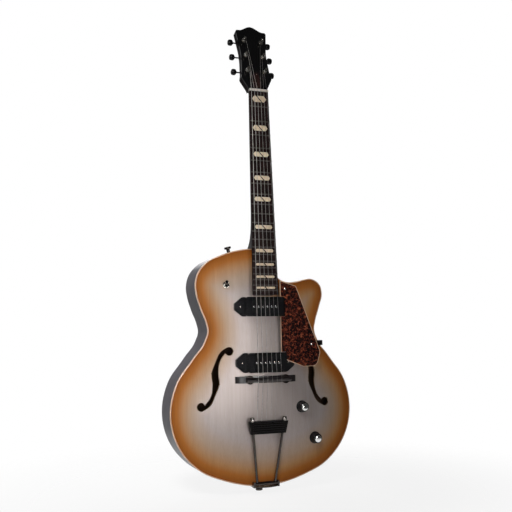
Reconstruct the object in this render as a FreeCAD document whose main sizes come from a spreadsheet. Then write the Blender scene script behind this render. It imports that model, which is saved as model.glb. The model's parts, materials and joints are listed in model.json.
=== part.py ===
import FreeCAD, Part
import math
import os

import Sketcher
from FreeCAD import Placement, Rotation, Vector

# Archtop guitar with one cutaway, standing upright on its end strap button.
# Frame: +Z runs up the neck, the front faces -Y, +X is the treble side.
# The origin is the centre of the end strap button's head. Millimetres.

doc = FreeCAD.newDocument("archtop_guitar")
sheet = doc.addObject("Spreadsheet::Sheet", "Sizes")

SIZES = {
    "body": {
        "body_length": 502.0, "lower_bout": 407.0, "waist_width": 244.5,
        "shoulder_reach": 148.8, "horn_reach": 142.8, "joint_half_width": 25.0,
        "body_depth": 76.0, "top_crown": 17.0, "back_crown": 15.0,
        "plate_thickness": 4.5, "rib_thickness": 3.0, "binding_width": 2.2, "cutaway_rib_place": 325.0,
        "neck_block_length": 58.0, "neck_block_width": 66.0,
        "end_block_length": 24.0, "end_block_width": 74.0,
        "tone_bar_width": 8.0, "tone_bar_height": 13.0, "tone_bar_length": 300.0,
        "tone_bar_offset": 48.0, "tone_bar_splay": 3.0, "tone_bar_place": 215.0,
    },
    "f-holes": {
        "hole_reach": 113.0, "hole_lean": 61.5, "hole_place": 226.5, "hole_offset": 108.8,
        "ball_radius": 9.0, "nick_depth": 2.4, "nick_width": 7.0,
    },
    "neck": {
        "scale_length": 631.0, "saddle_place": 223.0, "board_rise": 36.1, "neck_pitch": 2.63,
        "nut_width": 43.5, "board_flare": 0.0304, "board_thickness": 6.0, "board_radius": 406.0,
        "board_overhang": 9.0, "neck_depth": 15.0, "neck_depth_middle": 17.5, "neck_side": 2.0,
        "heel_reach": 75.0, "heel_cap_inset": 3.0, "heel_half_width": 14.0, "heel_round": 9.0,
        "extension_width": 42.0, "head_side": 4.0,
        "nut_length": 5.0, "nut_height": 2.4, "slot_gap": 0.1,
        "fret_width": 2.4, "fret_height": 1.1, "inlay_depth": 1.4, "inlay_length": 14.5,
        "inlay_width_nut": 32.5, "inlay_width_body": 48.0, "inlay_split": 2.2, "inlay_slant": -42.0,
        "truss_rod_radius": 3.0, "truss_rod_channel": 9.0, "truss_rod_end_gap": 7.7,
        "truss_rod_fit": 0.05,
    },
    "headstock": {
        "head_tilt": 13.0, "head_length": 175.5, "head_blend": 14.0,
        "head_thickness": 14.0, "head_half_width_low": 35.5, "head_half_width_mid": 30.0,
        "head_half_width_top": 36.5, "veneer_thickness": 2.0,
        "cover_length": 42.0, "cover_width": 17.0, "cover_thickness": 1.6, "cover_start": 7.5,
    },
    "tuners": {
        "post_offset": 20.5, "post_first": 53.0, "post_pitch": 40.0, "post_radius": 3.0,
        "post_height": 14.0, "post_fit": 0.05, "spool_rise": 8.0,
        "bush_radius": 5.6, "bush_height": 2.4,
        "gear_module": 0.75, "gear_thickness": 2.6, "gear_lift": 1.9,
        "gear_screw_height": 1.4,
        "worm_pitch_radius": 2.6,
        "key_shaft_radius": 1.6, "key_fit": 0.05, "key_reach": 25.0, "button_radius": 7.2,
        "button_thickness": 12.0,
        "tuner_plate_width": 20.0, "tuner_plate_length": 34.0, "plate_gauge": 1.2, "lug_spread": 14.0,
        "lug_gauge": 1.5, "lug_height": 6.4, "lug_width": 6.0, "tuner_plate_shift": 4.0,
    },
    "strings": {
        "string_rise_nut": 1.75, "string_rise_saddle": 42.6, "nut_spread": 36.0,
        "saddle_spread": 52.0, "tail_spread": 51.0, "string_gap": 0.3,
        "string_radius_1": 0.62, "string_radius_2": 0.52, "string_radius_3": 0.42,
        "string_radius_4": 0.32, "string_radius_5": 0.25, "string_radius_6": 0.22,
    },
    "pickups": {
        "bridge_pickup_ahead": 35.0, "neck_pickup_gap": 4.4, "pickup_length": 86.0,
        "pickup_width": 41.5, "pickup_corner": 4.0, "bridge_cover_height": 16.0,
        "neck_cover_height": 13.5, "cover_wall": 2.0, "ear_height": 5.0, "ear_reach": 66.0,
        "ear_tip_width": 14.0, "ear_tip_round": 4.0, "ear_shoulder": 49.0, "ear_shoulder_round": 7.0,
        "ear_screw_spread": 104.0, "pole_spread": 50.0,
        "pole_head_radius": 2.6, "pole_head_height": 1.4, "coil_gap": 0.5, "flange_height": 1.5,
        "winding_height": 6.0, "winding_inset": 3.0, "magnet_height": 4.0, "magnet_inset": 6.0, "pickup_cut_inset": 2.5,
    },
    "bridge": {
        "base_length": 135.0, "base_width": 14.0, "base_height": 9.0, "base_foot_height": 4.0,
        "base_bench_length": 96.0, "stud_spread": 80.0, "stud_radius": 2.0, "stud_sink": 5.0,
        "stud_height": 10.0, "saddle_travel": 2.1, "wheel_radius": 9.0,
        "wheel_thickness": 3.0, "wheel_drop": 2.6,
        "wheel_fit": 0.3, "saddle_length": 98.0, "saddle_width": 9.5,
        "saddle_top_width": 1.6, "saddle_shoulder": 4.5, "saddle_lip": 0.7, "saddle_notch_gap": 0.4,
        "saddle_end_angle": 30.0,
    },
    "tailpiece": {
        "bar_top_width": 87.0, "bar_low_width": 78.0, "bar_height": 26.0, "bar_place": 111.0,
        "bar_thickness": 8.0, "bar_rise": 29.0, "rib_height": 1.2, "rib_width": 2.6, "rib_margin": 4.0,
        "rod_radius": 2.5, "rod_spread_low": 40.0, "rod_spread_top": 68.0, "rod_fit": 0.1,
        "rod_nut_radius": 4.2, "rod_nut_length": 7.0, "rod_nut_rise": 1.0,
        "hinge_rise": 6.5, "hinge_place": 6.5,
        "barrel_radius": 4.0, "barrel_length": 50.0, "pin_radius": 2.0, "pin_fit": 0.05,
        "ear_gauge": 3.5, "hinge_plate_gauge": 2.0, "hinge_plate_tail": 52.0,
    },
    "strap buttons": {
        "button_standoff": 13.0, "button_head_radius": 7.5, "button_head_length": 5.0,
        "button_waist_radius": 3.8, "shoulder_button_place": 61.0,
    },
    "pickguard": {
        "guard_rise": 23.5, "guard_thickness": 1.4, "guard_edge_width": 1.4,
        "guard_left": 33.0, "guard_below": 11.0, "guard_width": 91.6, "guard_above": 56.0,
        "guard_corner": 16.0, "guard_clear": 0.8,
        "guard_arm_gauge": 3.4, "guard_bracket_stand": 3.6, "guard_clip_length": 12.0,
        "guard_clip_width": 11.0, "guard_clip_rise": 6.0,
        "guard_bracket_ahead": 37.0, "guard_foot_width": 12.0, "guard_foot_height": 12.0,
        "guard_foot_gauge": 6.0,
        "guard_post_radius": 4.0, "guard_post_height": 2.5, "guard_post_across": 104.0,
        "guard_spacer_radius": 5.0, "guard_spacer_across": 45.0, "guard_spacer_ahead": 39.0,
    },
    "controls": {
        "volume_across": 82.0, "volume_up": 162.0, "tone_across": 114.0, "tone_up": 94.0,
        "knob_radius": 12.8, "knob_height": 15.0, "knob_top_radius": 10.2, "knob_skirt_height": 2.6,
        "knob_hollow_radius": 10.0, "knob_hollow_height": 5.0, "knob_gap": 0.8,
        "cap_radius": 7.8, "cap_height": 3.0,
        "shaft_radius": 3.0, "shaft_fit": 0.05, "pot_radius": 12.0, "pot_height": 9.0,
        "pot_bush_radius": 4.6, "pot_nut_radius": 6.6, "pot_nut_height": 1.8, "pot_gap": 0.8,
        "shaft_sink": 4.0,
        "toggle_across": 81.5, "toggle_down": 79.0, "toggle_throw": 14.0, "toggle_heading": 125.0,
        "toggle_bush_radius": 5.6, "toggle_bore_radius": 4.3, "toggle_pivot_radius": 3.2,
        "toggle_pivot_length": 4.4,
        "toggle_nut_radius": 7.2, "toggle_nut_height": 2.6, "lever_radius": 1.5,
        "lever_length": 14.0, "tip_radius": 3.4, "tip_length": 9.0,
        "toggle_box_width": 13.0, "toggle_box_length": 18.0, "toggle_box_depth": 20.0,
        "jack_place": 58.0, "jack_bore_radius": 3.2, "jack_radius": 4.7, "jack_length": 24.0,
        "jack_stand": 5.0, "jack_nut_radius": 8.0, "jack_nut_height": 2.5,
    },
    "making": {"overrun": 2.0, "hole_fit": 0.1, "touch_gap": 0.3, "seat_gap": 0.15, "arch_gap": 0.25},
}

FRET_COUNT = 21
GEAR_TEETH = 14
RIB_COUNT = 5
# Frets that carry an inlay, each with the share of the full inlay length.
INLAY_SHARES = {1: 1.0, 3: 0.86, 5: 0.74, 7: 0.7, 9: 0.66, 12: 0.58, 15: 0.5, 17: 0.38, 19: 0.36, 21: 0.32}
WIRE_SIDES = 8
POLE_SIDES = 12
BUSH_SIDES = 6
EDGE_STEPS = 40
STRING_COUNT = 6


class Cell:
    """A length kept in the sheet: its value, and the text that binds a size to it."""

    def __init__(self, value, text):
        self.value = value
        self.text = text

    def _join(self, sign, other, value):
        other_text = other.text if isinstance(other, Cell) else repr(other)
        return Cell(value, "(%s %s %s)" % (self.text, sign, other_text))

    def __add__(self, other):
        return self._join("+", other, self.value + number(other))

    def __sub__(self, other):
        return self._join("-", other, self.value - number(other))

    def __mul__(self, other):
        return self._join("*", other, self.value * number(other))

    def __truediv__(self, other):
        return self._join("/", other, self.value / number(other))

    def __neg__(self):
        return Cell(-self.value, "(-%s)" % self.text)


class Named:
    """Holds one attribute for each named size."""


def number(item):
    return item.value if isinstance(item, Cell) else item


cell = Named()
size = Named()
row = 1
for group, entries in SIZES.items():
    sheet.set("A%d" % row, group)
    row += 1
    for alias, length in entries.items():
        sheet.set("A%d" % row, alias)
        sheet.set("B%d" % row, repr(length))
        sheet.setAlias("B%d" % row, alias)
        row += 1
doc.recompute()
for entries in SIZES.values():
    for alias in entries:
        held = float(sheet.get(alias))
        setattr(size, alias, held)
        setattr(cell, alias, Cell(held, "Sizes.%s" % alias))

NODES = []


def node(piece, label):
    """Names a finished sub-part and lists it for writing."""
    piece.Label = label
    NODES.append(piece)
    return piece


def feature(label, shape, placement=None):
    """A sub-part whose shape is worked out here."""
    piece = doc.addObject("Part::Feature", label)
    piece.Shape = shape
    if placement is not None:
        piece.Placement = placement.multiply(shape.Placement)
    return node(piece, label)


def bind(piece, **fields):
    """Binds the fields of a primitive to cells of the sheet."""
    for field, item in fields.items():
        if isinstance(item, Cell):
            piece.setExpression(field, item.text)
        setattr(piece, field, number(item))
    return piece


def box(name, length, width, height, placement):
    piece = bind(doc.addObject("Part::Box", name), Length=length, Width=width, Height=height)
    piece.Placement = placement
    return piece


def rod(name, radius, height, placement):
    piece = bind(doc.addObject("Part::Cylinder", name), Radius=radius, Height=height)
    piece.Placement = placement
    return piece


def fuse(name, pieces):
    piece = doc.addObject("Part::MultiFuse", name)
    piece.Shapes = pieces
    return piece


def group_of(name, pieces):
    """Separate solids that share one node."""
    piece = doc.addObject("Part::Compound", name)
    piece.Links = pieces
    return piece


def origin_plane(body, role):
    return [part for part in body.Origin.OriginFeatures if part.Role == role][0]


def polygon_sketch(body, role, corners):
    """A closed polygon whose corners are bound to the sheet, on one of the body's origin planes."""
    sketch = body.newObject("Sketcher::SketchObject", body.Name + "_profile")
    sketch.AttachmentSupport = [(origin_plane(body, role), "")]
    sketch.MapMode = "FlatFace"
    spots = [Vector(number(across), number(along), 0) for across, along in corners]
    count = len(spots)
    for i in range(count):
        sketch.addGeometry(Part.LineSegment(spots[i], spots[(i + 1) % count]), False)
    for i in range(count):
        sketch.addConstraint(Sketcher.Constraint("Coincident", i, 2, (i + 1) % count, 1))
    for i, corner in enumerate(corners):
        for kind, axis, item in zip(("DistanceX", "DistanceY"), (-2, -1), corner):
            if number(item) == 0:
                sketch.addConstraint(Sketcher.Constraint("PointOnObject", i, 1, axis))
                continue
            index = sketch.addConstraint(Sketcher.Constraint(kind, -1, 1, i, 1, number(item)))
            if isinstance(item, Cell):
                sketch.setExpression("Constraints[%d]" % index, item.text)
    return sketch


def turned(name, profile):
    """A body turned about its Z axis from (radius, height) corners."""
    body = doc.addObject("PartDesign::Body", name)
    sketch = polygon_sketch(body, "XZ_Plane", profile)
    turn = body.newObject("PartDesign::Revolution", name + "_turn")
    turn.Profile = sketch
    turn.ReferenceAxis = (sketch, ["V_Axis"])
    turn.Angle = 360.0
    return body


def padded(name, outline, thickness):
    """A body padded up its Z axis from a polygon."""
    body = doc.addObject("PartDesign::Body", name)
    sketch = polygon_sketch(body, "XY_Plane", outline)
    pad = body.newObject("PartDesign::Pad", name + "_pad")
    pad.Profile = sketch
    pad.setExpression("Length", thickness.text)
    pad.Length = thickness.value
    return body


def facing(point, direction):
    """A placement at a point whose Z axis lies along a direction."""
    return Placement(point, Rotation(Vector(0, 0, 1), direction))


def wire_run(points, radius):
    """A thin wire along straight runs, drawn with a few flat sides."""
    path = Part.makePolygon(points)
    pose = facing(points[0], points[1] - points[0])
    turns = [2 * math.pi * i / WIRE_SIDES for i in range(WIRE_SIDES + 1)]
    ring = Part.makePolygon([pose.multVec(Vector(math.cos(a), math.sin(a), 0) * radius) for a in turns])
    sweep = Part.BRepOffsetAPI.MakePipeShell(path)
    sweep.setTransitionMode(1)
    sweep.add(ring)
    sweep.build()
    sweep.makeSolid()
    return sweep.shape()


def plate_between(wire, low, high):
    """The prism of a wire in the front view, from one depth to another."""
    face = Part.Face(wire)
    face.translate(Vector(0, low, 0))
    return face.extrude(Vector(0, high - low, 0))


# Body outline

half_depth = size.body_depth / 2
front = -half_depth
end_z = size.button_standoff
neck_z = end_z + size.body_length

# Each point: the width that it follows, its share of that width, its share of the body's length.
LOWER_SHARES = (
    ("lower", 0.4, 0.0275), ("lower", 0.737, 0.0926), ("lower", 0.93, 0.19), ("lower", 1.0, 0.309),
    ("lower", 0.94, 0.43), ("lower", 0.762, 0.535), ("waist", 1.064, 0.6016),
)
SHOULDER_SHARES = (
    ("waist", 1.0, 0.649), ("waist", 1.031, 0.686), ("shoulder", 0.921, 0.741), ("shoulder", 0.985, 0.803),
    ("shoulder", 1.0, 0.839), ("shoulder", 0.955, 0.895), ("shoulder", 0.84, 0.936),
    ("shoulder", 0.61, 0.971), ("shoulder", 0.36, 0.9925),
)
HORN_SHARES = (
    ("waist", 1.0, 0.645), ("waist", 1.031, 0.693), ("horn", 0.942, 0.745), ("horn", 1.0, 0.811),
    ("horn", 0.977, 0.841), ("horn", 0.914, 0.8615), ("horn", 0.819, 0.8725), ("horn", 0.7, 0.869),
    ("horn", 0.57, 0.86), ("horn", 0.44, 0.8565), ("joint", 1.72, 0.8685), ("joint", 1.36, 0.8855),
    ("joint", 1.12, 0.91), ("joint", 1.0, 0.946),
)
HALF_WIDTHS = {
    "lower": size.lower_bout / 2, "waist": size.waist_width / 2, "shoulder": size.shoulder_reach,
    "horn": size.horn_reach, "joint": size.joint_half_width,
}


def outline_points(shares, side):
    return [Vector(side * HALF_WIDTHS[key] * across, 0, end_z + size.body_length * up)
            for key, across, up in shares]


def circle_tangent(before, spot, after):
    """The heading at a point of the circle through it and its two neighbours."""
    first = spot - before
    second = after - spot
    blend = first * (second.Length / first.Length) + second * (first.Length / second.Length)
    return blend.normalize()


def biarc_joint(start, heading, stop, last):
    """The point and heading where two arcs that leave and arrive as given meet."""
    span = stop - start
    spread = 2 * (1 - heading.dot(last))
    reach = span.dot(heading + last)
    if spread < 1e-9:
        length = span.dot(span) / (2 * reach)
    else:
        length = (math.sqrt(reach * reach + spread * span.dot(span)) - reach) / spread
    joint = (start + stop + (heading - last) * length) * 0.5
    chord = (joint - start).normalize()
    return joint, chord * (2 * chord.dot(heading)) - heading


def smooth_edge(points, first, last):
    """Points with headings along a smooth chain of arcs that leaves and arrives as given."""
    headings = [first]
    headings += [circle_tangent(*points[i - 1:i + 2]) for i in range(1, len(points) - 1)]
    headings.append(last)
    edge = [(points[0], headings[0])]
    for i in range(1, len(points)):
        edge.append(biarc_joint(points[i - 1], headings[i - 1], points[i], headings[i]))
        edge.append((points[i], headings[i]))
    return edge


def body_edge():
    """The body's edge as points with headings, from the neck's treble side round to its bass side."""
    treble = outline_points(LOWER_SHARES + HORN_SHARES, 1)
    bass = outline_points(LOWER_SHARES + SHOULDER_SHARES, -1)
    points = [Vector(size.joint_half_width, 0, neck_z)] + treble[::-1]
    points += [Vector(0, 0, end_z)] + bass + [Vector(-size.joint_half_width, 0, neck_z)]
    return smooth_edge(points, Vector(0, 0, -1), Vector(1, 0, 0))


BODY_EDGE = body_edge()


def inward(heading):
    return Vector(heading.z, 0, -heading.x)


def arc_middle(start, heading, stop):
    """The middle of the arc that leaves a point on a heading and ends at another."""
    chord = stop - start
    side = inward(chord)
    turn = math.atan2(heading.dot(side), heading.dot(chord))
    return (start + stop) * 0.5 + side * (math.tan(turn / 2) / 2)


def arcs_between(spots, headings):
    """The arcs of a smooth chain as start, middle and end points."""
    return [(a, arc_middle(a, heading, b), b) for a, heading, b in zip(spots, headings, spots[1:])]


def edge_arcs(inset):
    """The arcs of the body's edge, moved inwards."""
    spots = [spot + inward(heading) * inset for spot, heading in BODY_EDGE]
    spots[0] = Vector(size.joint_half_width - inset, 0, neck_z - inset)
    return arcs_between(spots, [heading for spot, heading in BODY_EDGE])


STRAIGHT_SHARE = 1e-4


def arc_edges(arcs):
    """Edges along a chain of arcs, straight where an arc has no bow."""
    edges = []
    for start, middle, stop in arcs:
        bow = (middle - (start + stop) * 0.5).Length
        straight = bow < STRAIGHT_SHARE * (stop - start).Length
        edges.append((Part.LineSegment(start, stop) if straight else Part.Arc(start, middle, stop)).toShape())
    return edges


def outline(inset):
    """The closed outline of the body, moved inwards from its edge."""
    arcs = edge_arcs(inset)
    return Part.Wire(arc_edges(arcs) + [Part.LineSegment(arcs[-1][2], arcs[0][0]).toShape()])


def edge_spots():
    """Many points of the body's edge, each with its heading."""
    spots = []
    for edge in arc_edges(edge_arcs(0)):
        first, last = edge.ParameterRange
        for step in range(EDGE_STEPS):
            at = first + (last - first) * step / EDGE_STEPS
            spots.append((edge.valueAt(at), edge.tangentAt(at)))
    return spots


def edge_near(test):
    """The point of the body's edge, with its heading, where a test of a point is least."""
    return min(edge_spots(), key=lambda spot: test(spot[0]))


def inside(x, z, ring):
    """Whether a point of the front view lies inside a ring of points."""
    held = False
    for a, b in zip(ring, ring[1:] + ring[:1]):
        if (a.z > z) != (b.z > z) and x < a.x + (b.x - a.x) * (z - a.z) / (b.z - a.z):
            held = not held
    return held


# Arching: a membrane stretched over the outline, eased to a hollow at the edge

ARCH_COLUMNS = 37
ARCH_SKIP = 3
ARCH_ROUNDS = 160
ARCH_EASE_SHARE = 1.86
ARCH_POWER_SHARE = 1.6


def membrane():
    """Solves the membrane on a grid. Returns its step, its rows of heights and its low corner."""
    ring = [spot for arc in edge_arcs(0) for spot in arc[:2]]
    step = size.lower_bout / (ARCH_COLUMNS - 4)
    columns = ARCH_COLUMNS
    rows = int(math.ceil(size.body_length / step)) + 4
    left = -step * (columns - 1) / 2
    low = end_z - step
    held = [[inside(left + step * i, low + step * j, ring) for i in range(columns)] for j in range(rows)]
    lift = [[0.0] * columns for j in range(rows)]
    for turn in range(ARCH_ROUNDS):
        for j in range(1, rows - 1):
            for i in range(1, columns - 1):
                if held[j][i]:
                    near = lift[j - 1][i] + lift[j + 1][i] + lift[j][i - 1] + lift[j][i + 1]
                    lift[j][i] += ARCH_EASE_SHARE * ((near + 1) / 4 - lift[j][i])
    peak = max(max(line) for line in lift)
    return step, [[lift[j][i] / peak for i in range(columns)] for j in range(rows)], left, low


ARCH_STEP, ARCH_LIFT, ARCH_LEFT, ARCH_LOW = membrane()


def arch_face(level, rise):
    """The arched face of a plate: its edge lies at a level, its middle stands further by a rise."""
    grid = []
    for j in range(0, len(ARCH_LIFT), ARCH_SKIP):
        line = []
        for i in range(0, ARCH_COLUMNS, ARCH_SKIP):
            eased = ARCH_LIFT[j][i] ** ARCH_POWER_SHARE
            line.append(Vector(ARCH_LEFT + ARCH_STEP * i, level + rise * eased, ARCH_LOW + ARCH_STEP * j))
        grid.append(line)
    surface = Part.BSplineSurface()
    surface.interpolate(grid)
    return surface


TOP_SURFACE = arch_face(front - size.arch_gap, -size.top_crown)
BACK_SURFACE = arch_face(half_depth + size.arch_gap, size.back_crown)


def block_from(surface, start, reach):
    """The block that an arched face sweeps through, from a shift of the face by a reach."""
    face = surface.toShape()
    face.translate(Vector(0, start, 0))
    return face.extrude(Vector(0, reach, 0))


def top_at(x, z):
    """The depth of the top's outside at a place of the front view."""
    line = Part.LineSegment(Vector(x, front - size.body_depth, z), Vector(x, half_depth, z))
    return line.intersectCS(TOP_SURFACE)[0][0].Y


def top_normal(x, z):
    """The way out of the top at a place of the front view."""
    step = ARCH_STEP / 4
    slope_x = (top_at(x + step, z) - top_at(x - step, z)) / (2 * step)
    slope_z = (top_at(x, z + step) - top_at(x, z - step)) / (2 * step)
    return Vector(slope_x, -1, slope_z).normalize()


# Shapes used by many pieces

def placed(shape, placement):
    """A copy of a shape moved by a placement."""
    moved = shape.copy()
    moved.Placement = placement.multiply(moved.Placement)
    return moved


def block(low, high, placement=None):
    """A block between two corners, moved by a placement."""
    span = high - low
    solid = Part.makeBox(span.x, span.y, span.z, low)
    return solid if placement is None else placed(solid, placement)


def rounded(corners, radii):
    """A closed wire through corners, each rounded by its radius."""
    edges = []
    marks = []
    count = len(corners)
    for i, corner in enumerate(corners):
        back = corners[i - 1] - corner
        ahead = corners[(i + 1) % count] - corner
        if radii[i] == 0:
            marks.append((corner, None, corner))
            continue
        half = back.getAngle(ahead) / 2
        back.normalize()
        ahead.normalize()
        trim = radii[i] / math.tan(half)
        bisector = (back + ahead).normalize()
        middle = corner + bisector * (radii[i] / math.sin(half) - radii[i])
        marks.append((corner + back * trim, middle, corner + ahead * trim))
    for i, (start, middle, stop) in enumerate(marks):
        if middle is not None:
            edges.append(Part.Arc(start, middle, stop).toShape())
        following = marks[(i + 1) % count][0]
        if (following - stop).Length > STRAIGHT_SHARE * size.touch_gap:
            edges.append(Part.LineSegment(stop, following).toShape())
    return Part.Wire(edges)


def revolved(profile):
    """A solid turned about its Z axis from (radius, height) pairs."""
    wire = Part.makePolygon([Vector(radius, 0, height) for radius, height in profile + profile[:1]])
    return Part.Face(wire).revolve(Vector(), Vector(0, 0, 1), 360)


def front_wire(pairs):
    """Corners of the front view, each across from the centre line and up from the body's end."""
    return [Vector(across, 0, end_z + up) for across, up in pairs]


# Neck and headstock frames: Y runs back, Z runs up the board from the saddle line

neck_frame = Placement(Vector(0, front - size.board_rise, end_z + size.saddle_place),
                       Rotation(Vector(1, 0, 0), -size.neck_pitch))
head_frame = neck_frame * Placement(Vector(0, size.board_thickness, size.scale_length),
                                    Rotation(Vector(1, 0, 0), -size.head_tilt))
joint_along = (size.body_length - size.saddle_place) / math.cos(math.radians(size.neck_pitch))
head_start = (size.nut_length + size.slot_gap) / math.cos(math.radians(size.head_tilt))
over = size.overrun


def fret_along(count):
    return size.scale_length * 2 ** (-count / 12)


board_low = fret_along(FRET_COUNT) - size.board_overhang


def board_half(along):
    return (size.nut_width + (size.scale_length - along) * size.board_flare) / 2


def board_drop(across):
    """How far the rounded board falls away to one side."""
    return size.board_radius - math.sqrt(size.board_radius ** 2 - across ** 2)


# Places of the parts that pass through the top

saddle_z = end_z + size.saddle_place
board_end = neck_frame.multVec(Vector(0, 0, board_low)).z - end_z
pickup_places = (
    ("neck", board_end - size.neck_pickup_gap - size.pickup_width / 2, size.neck_cover_height),
    ("bridge", size.saddle_place + size.bridge_pickup_ahead, size.bridge_cover_height))


def seat(across, up):
    """A placement on the top's outside, its Z axis pointing out."""
    x, z = across, end_z + up
    return facing(Vector(x, top_at(x, z), z), top_normal(x, z))


volume_seat = seat(size.volume_across, size.volume_up)
tone_seat = seat(size.tone_across, size.tone_up)
toggle_seat = seat(-size.toggle_across, size.body_length - size.toggle_down)
jack_spot, jack_heading = edge_near(
    lambda spot: abs(spot.z - end_z - size.jack_place) + (size.body_length if spot.x < 0 else 0))
jack_frame = facing(jack_spot, inward(jack_heading) * -1)


def bore(seat_frame, radius, inner, outer):
    """A round tool along a seat's axis, from inside to outside."""
    return placed(Part.makeCylinder(radius, inner + outer, Vector(0, 0, -inner)), seat_frame)


# Plates, ribs, blocks and linings

# One edge of an f-hole: shares of its lean across and of its reach up. The other edge is the same, turned.
HOLE_EDGE_SHARES = ((0.45, 0.577), (0.2, 0.49), (0.01, 0.3), (-0.13, 0.09), (-0.105, -0.12), (-0.17, -0.31),
                    (-0.38, -0.475))
NICK_SHARES = (-0.125, 0.1)


def f_hole(side):
    """The cutter of one f-hole: a curved slot with a ball at each end and a nick on each edge."""
    def spot(across, up):
        return Vector(side * (size.hole_offset - across * size.hole_lean), 0,
                      end_z + size.hole_place + up * size.hole_reach)

    edges = []
    ends = []
    for turn in (1, -1):
        points = [spot(turn * across, turn * up) for across, up in HOLE_EDGE_SHARES]
        leaving, coming = points[1] - points[0], points[-1] - points[-2]
        chain = smooth_edge(points, leaving.normalize(), coming.normalize())
        places, headings = zip(*chain)
        edges += arc_edges(arcs_between(list(places), list(headings)))
        ends.append((points[0], points[-1]))
        if turn < 0:
            edges.append(Part.LineSegment(ends[1][1], ends[0][0]).toShape())
        else:
            other = spot(-HOLE_EDGE_SHARES[0][0], -HOLE_EDGE_SHARES[0][1])
            edges.append(Part.LineSegment(points[-1], other).toShape())
    low, reach = front - size.body_depth, size.body_depth
    tools = [plate_between(Part.Wire(edges), low, low + reach + size.plate_thickness + over)]
    depth = reach + size.plate_thickness + over
    for turn in (1, -1):
        ball = spot(turn / 2, turn / 2) + Vector(0, low, 0)
        tools.append(Part.makeCylinder(size.ball_radius, depth, ball, Vector(0, 1, 0)))
        root = spot(turn * NICK_SHARES[0], turn * NICK_SHARES[1])
        out = Vector(side * turn * size.nick_depth, 0, 0)
        rise = Vector(0, 0, size.nick_width / 2)
        nick = Part.makePolygon([root + rise - out, root + out, root - rise - out, root + rise - out])
        tools.append(plate_between(nick, low, low + depth))
    return tools[0].fuse(tools[1:])


def pickup_block(place, inset, low, high):
    """A rounded block in a pickup's outline, moved inwards, between two depths."""
    half = size.pickup_length / 2 - inset
    reach = size.pickup_width / 2 - inset
    corners = front_wire(((-half, place - reach), (half, place - reach),
                          (half, place + reach), (-half, place + reach)))
    return plate_between(rounded(corners, [size.pickup_corner] * 4), low, high)


def pickup_front(place, height):
    return top_at(0, end_z + place) - height


def ear_spots(place):
    return [Vector(side * size.ear_screw_spread / 2, 0, end_z + place) for side in (-1, 1)]


def ear_front(place):
    """The depth of the front of a pickup cover's ears."""
    spot = ear_spots(place)[0]
    return top_at(spot.x, spot.z) - size.ear_height


top_plate = block_from(TOP_SURFACE, 0, size.plate_thickness).common(
    plate_between(outline(size.binding_width), front - size.body_depth, half_depth))
top_cuts = [f_hole(-1), f_hole(1)]
for name, place, height in pickup_places:
    top_cuts.append(pickup_block(place, size.pickup_cut_inset, front - size.body_depth, half_depth))
for spot_frame in (volume_seat, tone_seat):
    top_cuts.append(bore(spot_frame, size.pot_bush_radius + size.hole_fit, size.plate_thickness + over, over))
top_cuts.append(bore(toggle_seat, size.toggle_bush_radius + size.hole_fit, size.plate_thickness + over, over))
feature("top_plate", top_plate.cut(top_cuts))

back_block = block_from(BACK_SURFACE, -size.plate_thickness, size.plate_thickness)
feature("back_plate", back_block.common(plate_between(outline(0), -half_depth, size.body_depth)))


def ring(outer, inner, low, high):
    """A band along the body's edge between two insets and two depths."""
    return plate_between(outline(outer), low, high).cut(plate_between(outline(inner), low - over, high + over))


inner_front = front + size.plate_thickness
inner_back = half_depth - size.plate_thickness
jack_hole = bore(jack_frame, size.jack_radius + size.hole_fit, size.jack_length, size.jack_stand)
rib_band = ring(0, size.rib_thickness, inner_front, inner_back).cut(jack_hole)
rib_split = end_z + size.cutaway_rib_place
for label, start, stop, low, high in (("bass_rib", -size.lower_bout, 0, 0, 2 * neck_z),
                                      ("treble_rib", 0, size.lower_bout, 0, rib_split),
                                      ("cutaway_rib", 0, size.lower_bout, rib_split, 2 * neck_z)):
    room = block(Vector(start, -size.body_depth, low), Vector(stop, size.body_depth, high))
    feature(label, rib_band.common(room))
feature("top_binding", ring(0, size.binding_width, front, inner_front))

chamber_room = block_from(TOP_SURFACE, size.plate_thickness, 2 * size.body_depth).common(
    block_from(BACK_SURFACE, -size.plate_thickness - 2 * size.body_depth, 2 * size.body_depth))
inner_prism = plate_between(outline(size.rib_thickness), -size.body_depth, size.body_depth)


def fitted_block(width, low, high):
    """A block that fills the chamber from plate to plate."""
    raw = block(Vector(-width / 2, -size.body_depth, low), Vector(width / 2, size.body_depth, high))
    return raw.common(inner_prism).common(chamber_room)


neck_block = fitted_block(size.neck_block_width, neck_z - size.neck_block_length, neck_z)
end_block = fitted_block(size.end_block_width, end_z, end_z + size.end_block_length)
feature("neck_block", neck_block)
feature("end_block", end_block)

tone_bars = []
bar_zone = block_from(TOP_SURFACE, size.plate_thickness, size.tone_bar_height)
for side in (-1, 1):
    half = Vector(size.tone_bar_width / 2, size.body_depth, size.tone_bar_length / 2)
    pose = Placement(Vector(side * size.tone_bar_offset, 0, end_z + size.tone_bar_place),
                     Rotation(Vector(0, 1, 0), side * size.tone_bar_splay))
    bar = block(half * -1, half, pose).common(bar_zone)
    pickup_rooms = [pickup_block(place, 0, -size.body_depth, size.body_depth)
                    for name, place, height in pickup_places]
    tone_bars += bar.cut(pickup_rooms).Solids
feature("tone_bars", Part.makeCompound(tone_bars))

# Neck

# The heel: shares of its reach above the body, of the depth that it gains, and of its end's width.
HEEL_CURVE_SHARES = ((0.7, 0.025), (0.46, 0.1), (0.28, 0.24), (0.15, 0.45), (0.05, 0.72), (-0.16, 1.0))


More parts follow.
